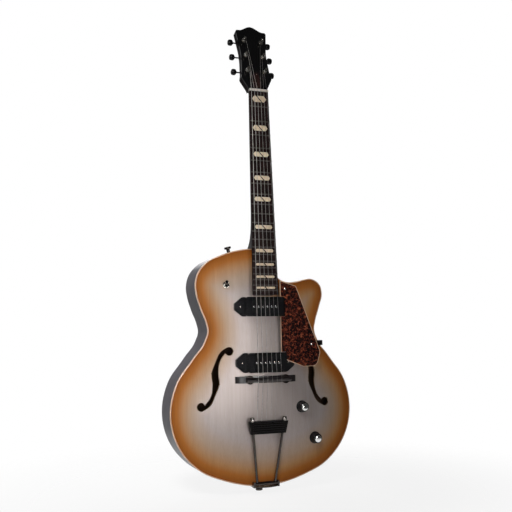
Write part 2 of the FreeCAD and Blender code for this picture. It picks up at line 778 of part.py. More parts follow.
def neck_section(along, half, depth, side, low_half):
    """A section of the neck: flat under the board, two sides down to a depth, a round back."""
    top = size.board_thickness
    right = [Vector(half, top, along), Vector(low_half, top + side, along)]
    left = [Vector(-spot.x, spot.y, spot.z) for spot in right]
    edges = [Part.LineSegment(left[0], right[0]).toShape(), Part.LineSegment(right[0], right[1]).toShape(),
             Part.Arc(right[1], Vector(0, top + depth, along), left[1]).toShape(),
             Part.LineSegment(left[1], left[0]).toShape()]
    return Part.Wire(edges)


joint_under = neck_frame.multVec(Vector(0, size.board_thickness, joint_along)).y
heel_depth = half_depth - size.heel_cap_inset - joint_under
head_end = size.scale_length + size.head_blend
blend_depth = (size.head_thickness / math.cos(math.radians(size.head_tilt))
               + size.head_blend * math.tan(math.radians(size.head_tilt)))
heel_top = joint_along + size.heel_reach
nut_half = size.nut_width / 2
shaft_sections = [neck_section(head_end, nut_half, blend_depth, blend_depth - size.head_side, nut_half)]
for along, depth in ((size.scale_length - size.nut_length, size.neck_depth), (heel_top, size.neck_depth_middle)):
    shaft_sections.append(neck_section(along, board_half(along), depth, size.neck_side, board_half(along)))
heel_sections = shaft_sections[-1:]
for above, gained in HEEL_CURVE_SHARES:
    along = joint_along + size.heel_reach * above
    depth = size.neck_depth_middle + (heel_depth - size.neck_depth_middle) * gained
    side = size.neck_side + (heel_depth - size.heel_round - size.neck_side) * gained
    low_half = board_half(along) + (size.heel_half_width - board_half(along)) * gained
    heel_sections.append(neck_section(along, board_half(along), depth, side, low_half))
shaft = Part.makeLoft(shaft_sections, True, True).fuse(Part.makeLoft(heel_sections, True, True))
shaft = placed(shaft, neck_frame)
wide = size.lower_bout
shaft = shaft.cut(block(Vector(-wide, -wide, 0), Vector(wide, wide, neck_z)))

half = size.extension_width / 2
wedge = block(Vector(-half, size.board_thickness, board_low),
              Vector(half, size.board_thickness + size.board_rise, joint_along + size.heel_reach), neck_frame)
top_room = block_from(TOP_SURFACE, 0, 2 * size.body_depth)
wedge = wedge.cut([top_room, block(Vector(-wide, -wide, neck_z), Vector(wide, wide, 2 * neck_z))])

# One side of the headstock: the width a corner follows, its shares of that and of the length, its rounding.
HEAD_CORNER_SHARES = (
    ("nut", 1.0, 0.04, 0.1), ("low", 1.01, 0.2, 0.02), ("low", 0.94, 0.27, 0.1), ("mid", 0.99, 0.56, 0.9),
    ("top", 1.01, 0.915, 0.03), ("top", 0.93, 0.93, 0.005), ("top", 0.66, 0.931, 0.1), ("top", 0.2, 0.99, 0.1),
)
HEAD_HALF_WIDTHS = {"nut": size.nut_width / 2, "low": size.head_half_width_low, "mid": size.head_half_width_mid,
                    "top": size.head_half_width_top}


def head_outline(start):
    """The headstock's outline in its own frame, from a place just above the nut."""
    side = [Vector(size.nut_width / 2, 0, start)]
    side += [Vector(HEAD_HALF_WIDTHS[key] * across, 0, size.head_length * up)
             for key, across, up, turn in HEAD_CORNER_SHARES]
    radii = [0] + [size.head_length * turn for key, across, up, turn in HEAD_CORNER_SHARES]
    apex = Vector(0, 0, size.head_length)
    other = [Vector(-spot.x, 0, spot.z) for spot in side[::-1]]
    return rounded(side + [apex] + other, radii + [0] + radii[::-1])


post_spots = []
for side in (-1, 1):
    for step in range(STRING_COUNT // 2):
        post_spots.append((side, Vector(side * size.post_offset, 0, size.post_first + size.post_pitch * step)))


def head_rod(spot, radius, start, stop):
    """A round tool square to the headstock, between two depths of its frame."""
    return placed(Part.makeCylinder(radius, stop - start, Vector(spot.x, start, spot.z), Vector(0, 1, 0)), head_frame)


slab = placed(plate_between(head_outline(head_start), 0, size.head_thickness), head_frame)
shave = block(Vector(-wide, -size.head_thickness, head_start), Vector(wide, 0, size.head_length), head_frame)
channel_half = size.truss_rod_radius + size.truss_rod_fit
rod_start = joint_along + size.truss_rod_channel
rod_end = size.scale_length - size.truss_rod_end_gap
channel = block(Vector(-channel_half, size.board_thickness, rod_start),
                Vector(channel_half, size.board_thickness + size.truss_rod_channel, rod_end),
                neck_frame)
neck_cuts = [channel]
for side, spot in post_spots:
    neck_cuts.append(head_rod(spot, size.post_radius + size.touch_gap, -over, size.head_thickness + over))
veneer = placed(plate_between(head_outline(head_start), -size.veneer_thickness, 0), head_frame)
feature("neck", shaft.cut(shave).fuse([wedge, slab]).removeSplitter().cut(neck_cuts + [veneer]))

rod_depth = size.board_thickness + size.truss_rod_channel - size.truss_rod_radius
truss_rod = rod("truss_rod", cell.truss_rod_radius, rod_end - rod_start,
                neck_frame * Placement(Vector(0, rod_depth, rod_start), Rotation()))
node(truss_rod, "truss_rod")

feature("headstock_veneer", veneer.cut([head_rod(spot, size.post_radius + size.touch_gap,
                                                 -size.head_thickness, over) for side, spot in post_spots]))

COVER_WAIST_SHARE = 0.55
COVER_TIP_SHARE = 0.45
cover_half = cell.cover_width / 2
cover_waist = cell.cover_start + cell.cover_length * COVER_WAIST_SHARE
cover_top = cell.cover_start + cell.cover_length
cover_tip = cover_half * COVER_TIP_SHARE
rod_cover = padded("truss_rod_cover", (
    (-cover_half, cell.cover_start), (cover_half, cell.cover_start), (cover_half, cover_waist),
    (cover_tip, cover_top), (-cover_tip, cover_top), (-cover_half, cover_waist)), cell.cover_thickness)
cover_spot = Vector(0, -size.veneer_thickness, 0)
rod_cover.Placement = head_frame * Placement(cover_spot, Rotation(Vector(1, 0, 0), 90))
node(rod_cover, "truss_rod_cover")

# Fingerboard, frets, inlays and nut


def board_section(along):
    """A section of the board: rounded playing face, square sides, flat back."""
    half = board_half(along)
    left, right = Vector(-half, board_drop(half), along), Vector(half, board_drop(half), along)
    low = [Vector(half, size.board_thickness, along), Vector(-half, size.board_thickness, along)]
    edges = [Part.Arc(left, Vector(0, 0, along), right).toShape(), Part.LineSegment(right, low[0]).toShape(),
             Part.LineSegment(low[0], low[1]).toShape(), Part.LineSegment(low[1], left).toShape()]
    return Part.Wire(edges)


INLAY_NIP_SHARE = 0.7
board = Part.makeLoft([board_section(board_low), board_section(size.scale_length)], True, True)


def inlay_tools(fret, length_share):
    """The two halves of one split inlay, as tall prisms through the board's face."""
    low, high = fret_along(fret), fret_along(fret - 1)
    share = 1 - (low + high) / 2 / size.scale_length
    half = (size.inlay_width_nut + (size.inlay_width_body - size.inlay_width_nut) * share) / 2
    reach = min(size.inlay_length * length_share, (high - low) - 2 * size.fret_width) / 2
    middle = (low + high) / 2
    nip = half - reach * INLAY_NIP_SHARE
    corners = [Vector(x, 0, middle + z) for x, z in (
        (-nip, -reach), (nip, -reach), (half, 0), (nip, reach), (-nip, reach), (-half, 0), (-nip, -reach))]
    blank = plate_between(Part.makePolygon(corners), -size.inlay_depth, size.inlay_depth)
    slit = block(Vector(-size.inlay_split / 2, -size.board_thickness, -size.board_rise),
                 Vector(size.inlay_split / 2, size.board_thickness, size.board_rise),
                 Placement(Vector(0, 0, middle), Rotation(Vector(0, 1, 0), size.inlay_slant)))
    return blank.cut(slit).Solids


inlay_blanks = [tool for fret, share in INLAY_SHARES.items() for tool in inlay_tools(fret, share)]
feature("inlays", Part.makeCompound([tool.common(board) for tool in inlay_blanks]), neck_frame)
feature("fingerboard", board.cut(inlay_blanks), neck_frame)


def fret_wire(along):
    """One fret: a band that follows the board's curve."""
    half = board_half(along)
    edges = []
    for lift, turn in ((0, 1), (-size.fret_height, -1)):
        left, right = Vector(-half, board_drop(half) + lift, along), Vector(half, board_drop(half) + lift, along)
        ends = (left, right) if turn > 0 else (right, left)
        edges.append(Part.Arc(ends[0], Vector(0, lift, along), ends[1]).toShape())
        fall = Vector(0, -size.fret_height if turn > 0 else size.fret_height, 0)
        edges.append(Part.LineSegment(ends[1], ends[1] + fall).toShape())
    face = Part.Face(Part.Wire(edges))
    face.translate(Vector(0, 0, -size.fret_width / 2))
    return face.extrude(Vector(0, 0, size.fret_width))


feature("frets", Part.makeCompound([fret_wire(fret_along(n)) for n in range(1, FRET_COUNT + 1)]), neck_frame)

string_radii = [getattr(size, "string_radius_%d" % (i + 1)) for i in range(STRING_COUNT)]


def string_across(index, spread):
    return spread * (index / (STRING_COUNT - 1) - 1 / 2)


def string_route(index):
    """One string from the tailpiece over the bridge and the nut to its post."""
    radius = string_radii[index]
    slot_rise = size.bar_height / 2 + size.slot_gap
    start = tail_frame.multVec(Vector(string_across(index, size.tail_spread), 0, slot_rise))
    over_bridge = Vector(string_across(index, size.saddle_spread), front - size.string_rise_saddle, saddle_z)
    nut_across = string_across(index, size.nut_spread)
    over_nut = neck_frame.multVec(Vector(nut_across, -size.string_rise_nut, size.scale_length))
    return [start, over_bridge, over_nut, string_end(index, radius)]


def string_end(index, radius):
    """Where a string meets the inner side of its post."""
    half = STRING_COUNT // 2
    side, spot = post_spots[index] if index < half else post_spots[half + STRING_COUNT - 1 - index]
    lift = -(size.veneer_thickness + size.spool_rise)
    inner = spot.x - side * (size.post_radius + radius + size.string_gap)
    return head_frame.multVec(Vector(inner, lift, spot.z))


# Tailpiece frame: its Z axis runs up along the rods

tail_low = Vector(0, front - size.hinge_rise, end_z + size.hinge_place)
tail_middle = Vector(0, front - size.bar_rise + size.bar_thickness / 2,
                     end_z + size.bar_place + size.bar_height / 2)
tail_frame = facing(tail_middle, tail_middle - tail_low)
routes = [string_route(i) for i in range(STRING_COUNT)]
string_runs = [wire_run(route, radius) for route, radius in zip(routes, string_radii)]
feature("strings", Part.makeCompound(string_runs))

nut_half = size.nut_width / 2
nut = block(Vector(-nut_half, -size.nut_height, size.scale_length),
            Vector(nut_half, size.board_thickness, size.scale_length + size.nut_length))
slots = []
for i, radius in enumerate(string_radii):
    here = neck_frame.inverse().multVec(routes[i][2])
    leaving = neck_frame.inverse().multVec(routes[i][3]) - here
    fall = math.degrees(math.atan2(leaving.y, leaving.z))
    reach = radius + size.slot_gap
    turn = math.degrees(math.atan2(leaving.x, leaving.z))
    pose = Placement(here, Rotation(Vector(0, 1, 0), turn) * Rotation(Vector(1, 0, 0), -fall))
    slots.append(block(Vector(-reach, -size.nut_height - over, -over),
                       Vector(reach, reach, size.nut_length + over), pose))
    slots.append(block(Vector(here.x - reach, -size.nut_height - over, size.scale_length - over),
                       Vector(here.x + reach, here.y + reach, size.scale_length + size.nut_length / 4)))
feature("nut", nut.cut(slots), neck_frame)

# Tuners: posts with gears, keys with worms, plates and bushings, in the headstock's frame

# One tooth: shares of the tooth pitch across and of the module out from the pitch circle.
TOOTH_TIP_SHARE = 0.6
TOOTH_SHARES = ((-0.34, -1.0), (-0.13, TOOTH_TIP_SHARE), (0.13, TOOTH_TIP_SHARE), (0.34, -1.0))
gear_middle = size.head_thickness + size.plate_gauge + size.gear_lift + size.gear_thickness / 2
gear_pitch_radius = size.gear_module * GEAR_TEETH / 2
worm_rise = gear_pitch_radius + size.worm_pitch_radius


def gear():
    """A toothed wheel about the Y axis with a gap at its top."""
    pitch = 2 * math.pi / GEAR_TEETH
    points = []
    for tooth in range(GEAR_TEETH):
        for across, out in TOOTH_SHARES:
            angle = (tooth + 1 / 2 + across) * pitch
            radius = gear_pitch_radius + out * size.gear_module
            points.append(Vector(radius * math.sin(angle), 0, radius * math.cos(angle)))
    wire = Part.makePolygon(points + points[:1])
    start = gear_middle - size.gear_thickness / 2
    return plate_between(wire, start, start + size.gear_thickness)


def tuner_post():
    """A post with its gear, which it passes through."""
    top = -size.veneer_thickness - size.post_height
    length = gear_middle + size.gear_thickness / 2 + size.gear_screw_height - top
    stem = Part.makeCylinder(size.post_radius, length, Vector(0, top, 0), Vector(0, 1, 0))
    return stem.fuse(gear())


def tuner_key():
    """A key along the X axis: a shaft through both lugs and a round button."""
    inner_end = -size.lug_spread / 2 - size.lug_gauge
    button_low = size.key_reach - size.button_thickness / 2
    key = Part.makeCylinder(size.key_shaft_radius, button_low - inner_end, Vector(0, 0, inner_end))
    key = key.fuse(Part.makeCylinder(size.button_radius, size.button_thickness, Vector(0, 0, button_low)))
    return placed(key, Placement(Vector(0, gear_middle, worm_rise), Rotation(Vector(1, 1, 1), 120)))


def tuner_plate():
    """A plate on the headstock's back with two lugs that carry the key."""
    near = size.head_thickness
    far = near + size.plate_gauge
    half = size.tuner_plate_width / 2
    middle = size.tuner_plate_shift
    reach = size.tuner_plate_length / 2
    plate = block(Vector(-half, near, middle - reach), Vector(half, far, middle + reach))
    for side in (-1, 1):
        start = side * size.lug_spread / 2 - size.lug_gauge / 2
        plate = plate.fuse(block(Vector(start, near, worm_rise - size.lug_width / 2),
                                 Vector(start + size.lug_gauge, far + size.lug_height, worm_rise + size.lug_width / 2)))
    room = size.post_radius + size.touch_gap
    post_hole = block(Vector(-room, near - over, -room), Vector(room, far + over, room))
    slack = size.key_shaft_radius + size.key_fit
    notch = block(Vector(-half, gear_middle - slack, worm_rise - slack),
                  Vector(half, gear_middle + size.lug_height + over, worm_rise + slack))
    return plate.cut([post_hole, notch])


def bushing():
    """The six-sided nut on the headstock's face that a post turns in."""
    face = -size.veneer_thickness
    inner = size.post_radius + size.post_fit
    turns = [2 * math.pi * i / BUSH_SIDES for i in range(BUSH_SIDES + 1)]
    ring = Part.makePolygon([Vector(math.cos(a), 0, math.sin(a)) * size.bush_radius for a in turns])
    start = Vector(0, face - size.head_thickness / 2, 0)
    hole = Part.makeCylinder(inner, size.head_thickness, start, Vector(0, 1, 0))
    return plate_between(ring, face - size.bush_height, face).cut(hole)


mirror_plane = (Vector(), Vector(1, 0, 0))


def at_post(shape, side, spot):
    """A tuner piece moved to its post, mirrored on the bass side."""
    turned_shape = shape if side > 0 else shape.mirror(*mirror_plane)
    return placed(turned_shape, Placement(spot, Rotation()))


key_shape, post_shape, plate_shape, bush_shape = tuner_key(), tuner_post(), tuner_plate(), bushing()
tuner_plates, bushings = [], []
for count, (side, spot) in enumerate(post_spots, 1):
    feature("tuner_key_%d" % count, at_post(key_shape, side, spot), head_frame)
    feature("tuner_post_%d" % count, at_post(post_shape, side, spot), head_frame)
    tuner_plates.append(at_post(plate_shape, side, spot))
    bushings.append(at_post(bush_shape, side, spot))
feature("tuner_plates", Part.makeCompound(tuner_plates), head_frame)
feature("tuner_bushings", Part.makeCompound(bushings), head_frame)

# Pickups: covers with ears, coils inside them, pole screws


def ear_wire(place, side):
    """The outline of one ear of a pickup cover: square at the cover, then narrowing to a blunt tip."""
    root = side * (size.pickup_length / 2 - size.cover_wall)
    shoulder, far = side * size.ear_shoulder, side * size.ear_reach
    reach, tip = size.pickup_width / 2, size.ear_tip_width / 2
    corners = front_wire(((root, place - reach), (shoulder, place - reach), (far, place - tip),
                          (far, place + tip), (shoulder, place + reach), (root, place + reach)))
    bends = [size.ear_shoulder_round, size.ear_tip_round]
    return rounded(corners, [0] + bends + bends[::-1] + [0])


def pole_spots(place):
    return [Vector(string_across(i, size.pole_spread), 0, end_z + place) for i in range(STRING_COUNT)]


def plain_block(place, inset, low, high):
    """A square block in a pickup's outline, moved inwards, between two depths."""
    half = size.pickup_length / 2 - inset
    reach = size.pickup_width / 2 - inset
    return block(Vector(-half, low, end_z + place - reach), Vector(half, high, end_z + place + reach))


def pole_stud(spot):
    """The flat-sided head of a pole screw, standing on a cover."""
    turns = [2 * math.pi * i / POLE_SIDES for i in range(POLE_SIDES + 1)]
    ring = Part.makePolygon([spot + Vector(math.cos(a), 0, math.sin(a)) * size.pole_head_radius for a in turns])
    return Part.Face(ring).extrude(Vector(0, -size.pole_head_height, 0))


pole_screws = []
for name, place, height in pickup_places:
    face = pickup_front(place, height)
    inner_face = face + size.cover_wall
    cover = pickup_block(place, 0, face, front)
    ears = [plate_between(ear_wire(place, side), ear_front(place), front) for side in (-1, 1)]
    hollow = plain_block(place, size.cover_wall, inner_face, half_depth)
    feature(name + "_pickup_cover", cover.fuse(ears).cut([hollow, top_room]))
    depths = [inner_face]
    for step in (size.flange_height, size.winding_height, size.flange_height, size.magnet_height):
        depths.append(depths[-1] + step)
    wall = size.cover_wall + size.coil_gap
    insets = (wall, wall + size.winding_inset, wall, wall + size.magnet_inset)
    coil = [plain_block(place, inset, low, high) for inset, low, high in zip(insets, depths, depths[1:])]
    feature(name + "_pickup_coil", coil[0].fuse(coil[1:]))
    pole_screws += [pole_stud(Vector(spot.x, face, spot.z)) for spot in pole_spots(place)]
feature("pole_screws", Part.makeCompound(pole_screws))

# Bridge: base, studs, thumbwheels and saddle

base_front = top_at(0, saddle_z) - size.base_height
half = size.base_length / 2
bench = size.base_bench_length / 2
foot_front = top_at(half, saddle_z) - size.base_foot_height
depth = front + size.plate_thickness
profile = Part.makePolygon([Vector(x, y, saddle_z - size.base_width / 2) for x, y in (
    (-half, depth), (-half, foot_front), (-bench, base_front), (bench, base_front), (half, foot_front), (half, depth),
    (-half, depth))])
stud_spots = [Vector(side * size.stud_spread / 2, base_front, saddle_z) for side in (-1, 1)]
sockets = [Part.makeCylinder(size.stud_radius, size.stud_sink, spot, Vector(0, 1, 0)) for spot in stud_spots]
feature("bridge_base", Part.Face(profile).extrude(Vector(0, 0, size.base_width)).cut([top_room] + sockets))

stud_pieces = []
for count, spot in enumerate(stud_spots):
    stud_pieces.append(rod("bridge_stud_%d" % count, cell.stud_radius, cell.stud_sink + cell.stud_height,
                           facing(spot + Vector(0, size.stud_sink, 0), Vector(0, -1, 0))))
node(group_of("bridge_posts", stud_pieces), "bridge_posts")

wheel_bore = cell.stud_radius + cell.wheel_fit
for label, spot in zip(("bass_thumbwheel", "treble_thumbwheel"), stud_spots):
    wheel = turned(label, ((wheel_bore, 0), (cell.wheel_radius, 0), (cell.wheel_radius, cell.wheel_thickness),
                           (wheel_bore, cell.wheel_thickness)))
    wheel.Placement = facing(spot - Vector(0, size.wheel_drop, 0), Vector(0, -1, 0))
    node(wheel, label)

saddle_low = base_front - size.wheel_drop - size.wheel_thickness - size.touch_gap
saddle_high = front - size.string_rise_saddle - size.saddle_lip
shoulder = saddle_low - size.saddle_shoulder
half = size.saddle_length / 2
wide_half, thin_half = size.saddle_width / 2, size.saddle_top_width / 2
profile = Part.makePolygon([Vector(-half, y, saddle_z + z) for y, z in (
    (saddle_low, -wide_half), (shoulder, -wide_half), (saddle_high, -thin_half), (saddle_high, thin_half),
    (shoulder, wide_half), (saddle_low, wide_half), (saddle_low, -wide_half))])
saddle_cuts = []
bore_depth = size.stud_height + size.saddle_travel + size.touch_gap
for spot in stud_spots:
    saddle_cuts.append(Part.makeCylinder(size.stud_radius + size.wheel_fit, bore_depth, spot, Vector(0, -1, 0)))
for i, radius in enumerate(string_radii):
    reach = radius + size.saddle_notch_gap
    spot = routes[i][1]
    saddle_cuts.append(block(Vector(spot.x - reach, saddle_high - over, saddle_z - size.saddle_width),
                             Vector(spot.x + reach, spot.y + reach, saddle_z + size.saddle_width)))
for side in (-1, 1):
    lean = Rotation(Vector(0, 0, 1), side * size.saddle_end_angle)
    pose = Placement(Vector(side * half, shoulder, saddle_z), lean)
    far = side * size.saddle_length
    saddle_cuts.append(block(Vector(min(0, far), -size.saddle_length, -size.saddle_width),
                             Vector(max(0, far), 0, size.saddle_width), pose))
feature("bridge_saddle", Part.Face(profile).extrude(Vector(size.saddle_length, 0, 0)).cut(saddle_cuts))

# Tailpiece: ribbed bar, two rods that run through its ends, barrel, pin and hinge


def rod_line(side):
    """The two ends of a tailpiece rod, in the tailpiece's frame."""
    fall = (tail_middle - tail_low).Length
    low = Vector(side * size.rod_spread_low / 2, 0, -fall)
    middle = Vector(side * size.rod_spread_top / 2, 0, 0)
    way = middle - low
    return low, low + way * ((fall + size.bar_height / 2 + size.rod_nut_rise) / fall)


def rod_solid(side, radius):
    low, high = rod_line(side)
    return Part.makeCylinder(radius, (high - low).Length, low, high - low)


top_half, low_half = size.bar_top_width / 2, size.bar_low_width / 2
rise, thick = size.bar_height / 2, size.bar_thickness / 2
bar_wire = Part.makePolygon([Vector(x, 0, z) for x, z in (
    (-low_half, -rise), (low_half, -rise), (top_half, rise), (-top_half, rise), (-low_half, -rise))])
bar = plate_between(bar_wire, -thick, thick)
ribs = []
rib_pitch = (size.bar_height - 2 * size.rib_margin) / (RIB_COUNT - 1)
rib_half = size.bar_low_width / 2 - size.rib_margin
for count in range(RIB_COUNT):
    middle = -rise + size.rib_margin + rib_pitch * count
    ribs.append(block(Vector(-rib_half, -thick - size.rib_height, middle - size.rib_width / 2),
                      Vector(rib_half, -thick, middle + size.rib_width / 2)))
rod_holes = [rod_solid(side, size.rod_radius + size.rod_fit) for side in (-1, 1)]
feature("tailpiece_bar", bar.fuse(ribs).cut(rod_holes), tail_frame)

barrel_axis = Vector(1, 0, 0)
barrel_low = Vector(-size.barrel_length / 2, 0, rod_line(1)[0].z)
rods = [rod_solid(side, size.rod_radius) for side in (-1, 1)]
nuts = []
for side in (-1, 1):
    low, high = rod_line(side)
    nuts.append(Part.makeCylinder(size.rod_nut_radius, size.rod_nut_length, high, high - low))
barrel = Part.makeCylinder(size.barrel_radius, size.barrel_length, barrel_low, barrel_axis)
pin_room = Part.makeCylinder(size.pin_radius + size.pin_fit, size.barrel_length, barrel_low, barrel_axis)
feature("tailpiece_rods", barrel.fuse(rods + nuts).cut(pin_room), tail_frame)

hinge_half = size.barrel_length / 2 + size.touch_gap + size.ear_gauge
ear_front_depth = tail_low.y - size.barrel_radius
plate_back = front + size.hinge_plate_tail
plate_zone = block(Vector(-hinge_half, ear_front_depth, 0), Vector(hinge_half, plate_back, neck_z / 2))
hinge_plate = plate_between(outline(-size.hinge_plate_gauge), ear_front_depth, plate_back).cut(
    plate_between(outline(0), ear_front_depth - over, half_depth)).common(plate_zone)
hinge = [hinge_plate]
for side in (-1, 1):
    inner = side * (hinge_half - size.ear_gauge)
    outer = side * hinge_half
    ear_high = tail_low.z + size.barrel_radius
    ear_back = min(front, top_at(inner, ear_high)) - size.touch_gap
    hinge.append(block(Vector(min(inner, outer), ear_front_depth, end_z - size.hinge_plate_gauge / 2),
                       Vector(max(inner, outer), ear_back, ear_high)))
pin_low = Vector(-hinge_half, tail_low.y, tail_low.z)
pin_hole = Part.makeCylinder(size.pin_radius, 2 * hinge_half, pin_low, barrel_axis)
feature("tailpiece_hinge", hinge[0].fuse(hinge[1:]).cut(pin_hole))
node(rod("tailpiece_pin", cell.pin_radius, (cell.barrel_length / 2 + cell.touch_gap + cell.ear_gauge) * 2.0,
         facing(pin_low, barrel_axis)), "tailpiece_pin")

# Strap buttons

foot_low = -(cell.button_standoff - cell.hinge_plate_gauge)
half_head = cell.button_head_length / 2
button_pieces = []
shoulder_spot, shoulder_heading = edge_near(
    lambda spot: abs(spot.x + size.shoulder_button_place) + (size.body_length if spot.z < neck_z / 2 else 0))
stand = size.button_standoff - size.hinge_plate_gauge
shoulder_out = inward(shoulder_heading) * -1
for name, pose in (("end_button", facing(Vector(), Vector(0, 0, -1))),
                   ("shoulder_button", facing(shoulder_spot + shoulder_out * stand, shoulder_out))):
    button = turned(name, ((0, foot_low), (cell.button_waist_radius, foot_low),
                           (cell.button_waist_radius, -half_head), (cell.button_head_radius, -half_head),
                           (cell.button_head_radius, half_head), (0, half_head)))
    button.Placement = pose
    button_pieces.append(button)
node(group_of("strap_buttons", button_pieces), "strap_buttons")

# Pickguard: a plate clear of the top, its pale edge, a spacer at the neck and a bracket to the rim

guard_front = front - size.guard_rise - size.guard_thickness
guard_back = front - size.guard_rise
(neck_place, bridge_place) = (place for name, place, height in pickup_places)
guard_low = bridge_place - size.guard_below
guard_length = neck_place + size.guard_above - guard_low
bracket_place = bridge_place + size.guard_bracket_ahead
# The outer corners: shares of the guard's width and length.
GUARD_SHARES = ((0.0, 1.0), (0.41, 0.935), (1.0, 0.165), (0.9, 0.0), (0.55, 0.0), (0.17, 0.075))
GUARD_ROUND_SHARES = (0.05, 0.3, 0.9, 0.9, 0.5, 0.2)


def guard_wire(inset):
    """The guard's outline, moved inwards except where it clears the pickups."""
    notch = size.pickup_length / 2 + size.guard_clear
    left = size.guard_left + inset
    steps = []
    for name, place, height in pickup_places:
        reach = size.pickup_width / 2 + size.guard_clear
        steps.append((place - reach, place + reach))
    (neck_low, neck_high), (bridge_low, bridge_high) = steps
    outer = [Vector(size.guard_left + size.guard_width * across, 0, end_z + guard_low + guard_length * up)
             for across, up in GUARD_SHARES]
    lines = []
    for a, b in zip(outer, outer[1:]):
        side = inward((b - a).normalize())
        lines.append((a + side * inset, b + side * inset))
    moved = [Vector(left, 0, crossing_at(lines[0], left))]
    moved += [crossing(first, second) for first, second in zip(lines, lines[1:])]
    last = Vector(notch, 0, crossing_at(lines[-1], notch))
    inner = front_wire(((notch, bridge_high), (left, bridge_high), (left, neck_low), (notch, neck_low),
                        (notch, neck_high), (left, neck_high)))
    radii = [size.guard_corner * share for share in GUARD_ROUND_SHARES[:len(moved)]] + [0] * (1 + len(inner))
    return rounded(moved + [last] + inner, radii)


def crossing(first, second):
    """Where two lines of the front view meet."""
    a, b = first
    c, d = second
    way, other = b - a, d - c
    share = ((c.x - a.x) * other.z - (c.z - a.z) * other.x) / (way.x * other.z - way.z * other.x)
    return a + way * share


def crossing_at(line, x):
    """The height where a line of the front view passes a place across."""
    a, b = line
    return a.z + (b.z - a.z) * (x - a.x) / (b.x - a.x)


post_spot = Vector(size.guard_post_across, guard_back, end_z + bracket_place)
spacer_spot = Vector(size.guard_spacer_across, guard_back, end_z + neck_place + size.guard_spacer_ahead)
guard = plate_between(guard_wire(size.guard_edge_width), guard_front, guard_back)
feature("pickguard", guard)
feature("pickguard_edge", plate_between(guard_wire(0), guard_front, guard_back).cut(
    plate_between(guard_wire(size.guard_edge_width), guard_front - over, guard_back + over)))

spacer = Part.makeCylinder(size.guard_spacer_radius, size.guard_rise, spacer_spot, Vector(0, 1, 0))
feature("pickguard_spacer", spacer.cut(top_room))

rim_spot, rim_heading = edge_near(
    lambda spot: abs(spot.z - end_z - bracket_place) + (size.body_length if spot.x < 0 else 0))
rim_out = inward(rim_heading) * -1
foot_frame = Placement(rim_spot, Rotation(Vector(1, 0, 0), rim_out))
foot = block(Vector(-size.guard_foot_gauge, -size.guard_foot_height / 2, -size.guard_foot_width / 2),
             Vector(size.guard_foot_gauge, size.guard_foot_height / 2, size.guard_foot_width / 2), foot_frame)
foot = foot.cut(plate_between(outline(0), -size.body_depth, size.body_depth))
arm_half, clip_half = size.guard_arm_gauge / 2, size.guard_clip_width / 2
arm_out = rim_spot + rim_out * size.guard_bracket_stand
arm_front = guard_back + size.guard_post_height
clip_front = front - size.guard_clip_rise
clip_low, clip_high = arm_out.x + arm_half - size.guard_clip_length, arm_out.x + arm_half
clip = block(Vector(clip_low, clip_front, arm_out.z - clip_half),
             Vector(clip_high, front, arm_out.z + clip_half))
arms = [clip.cut(top_room),
        block(Vector(arm_out.x - arm_half, clip_front, arm_out.z - arm_half),
              Vector(clip_high, 0, arm_out.z + arm_half)),
        block(Vector(clip_low, arm_front, arm_out.z - arm_half),
              Vector(clip_low + size.guard_arm_gauge, clip_front, arm_out.z + arm_half)),
        block(Vector(post_spot.x, arm_front, arm_out.z - arm_half),
              Vector(clip_low + size.guard_arm_gauge, arm_front + size.guard_arm_gauge, arm_out.z + arm_half))]
guard_post = Part.makeCylinder(size.guard_post_radius, size.guard_post_height + size.guard_arm_gauge, post_spot,
                               Vector(0, 1, 0))
feature("pickguard_bracket", foot.fuse(arms + [guard_post]))

# Controls: two pots with knobs, a toggle switch and the output socket

pot_low = -(cell.plate_thickness + cell.pot_gap + cell.pot_height)
pot_top = -(cell.plate_thickness + cell.pot_gap)
pot_bore = cell.shaft_radius + cell.shaft_fit
pots = []
for name, pose in (("volume", volume_seat), ("tone", tone_seat)):
    pot = turned(name + "_pot", (
        (pot_bore, pot_low + cell.shaft_sink), (pot_bore, cell.seat_gap + cell.pot_nut_height),
        (cell.pot_nut_radius, cell.seat_gap + cell.pot_nut_height), (cell.pot_nut_radius, cell.seat_gap),
        (cell.pot_bush_radius, cell.seat_gap), (cell.pot_bush_radius, pot_top), (cell.pot_radius, pot_top),
        (cell.pot_radius, pot_low), (0, pot_low), (0, pot_low + cell.shaft_sink - cell.touch_gap),
        (pot_bore, pot_low + cell.shaft_sink - cell.touch_gap)))
    pot.Placement = pose
    pots.append(pot)
    knob_top = cell.knob_gap + cell.knob_height
    hollow_top = cell.knob_gap + cell.knob_hollow_height
    knob = turned(name + "_knob", (
        (cell.shaft_radius, hollow_top), (cell.knob_hollow_radius, hollow_top),
        (cell.knob_hollow_radius, cell.knob_gap), (cell.knob_radius, cell.knob_gap),
        (cell.knob_radius, cell.knob_gap + cell.knob_skirt_height),
        (cell.knob_top_radius, cell.knob_gap + cell.knob_skirt_height), (cell.knob_top_radius, knob_top),
        (cell.shaft_radius, knob_top)))
    knob.Placement = pose
    node(knob, name + "_knob")
    spindle = turned(name + "_spindle", (
        (0, pot_low + cell.shaft_sink), (cell.shaft_radius, pot_low + cell.shaft_sink),
        (cell.shaft_radius, knob_top), (cell.cap_radius, knob_top),
        (cell.cap_radius, knob_top + cell.cap_height), (0, knob_top + cell.cap_height)))
    spindle.Placement = pose
    node(spindle, name + "_spindle")
node(group_of("control_pots", pots), "control_pots")

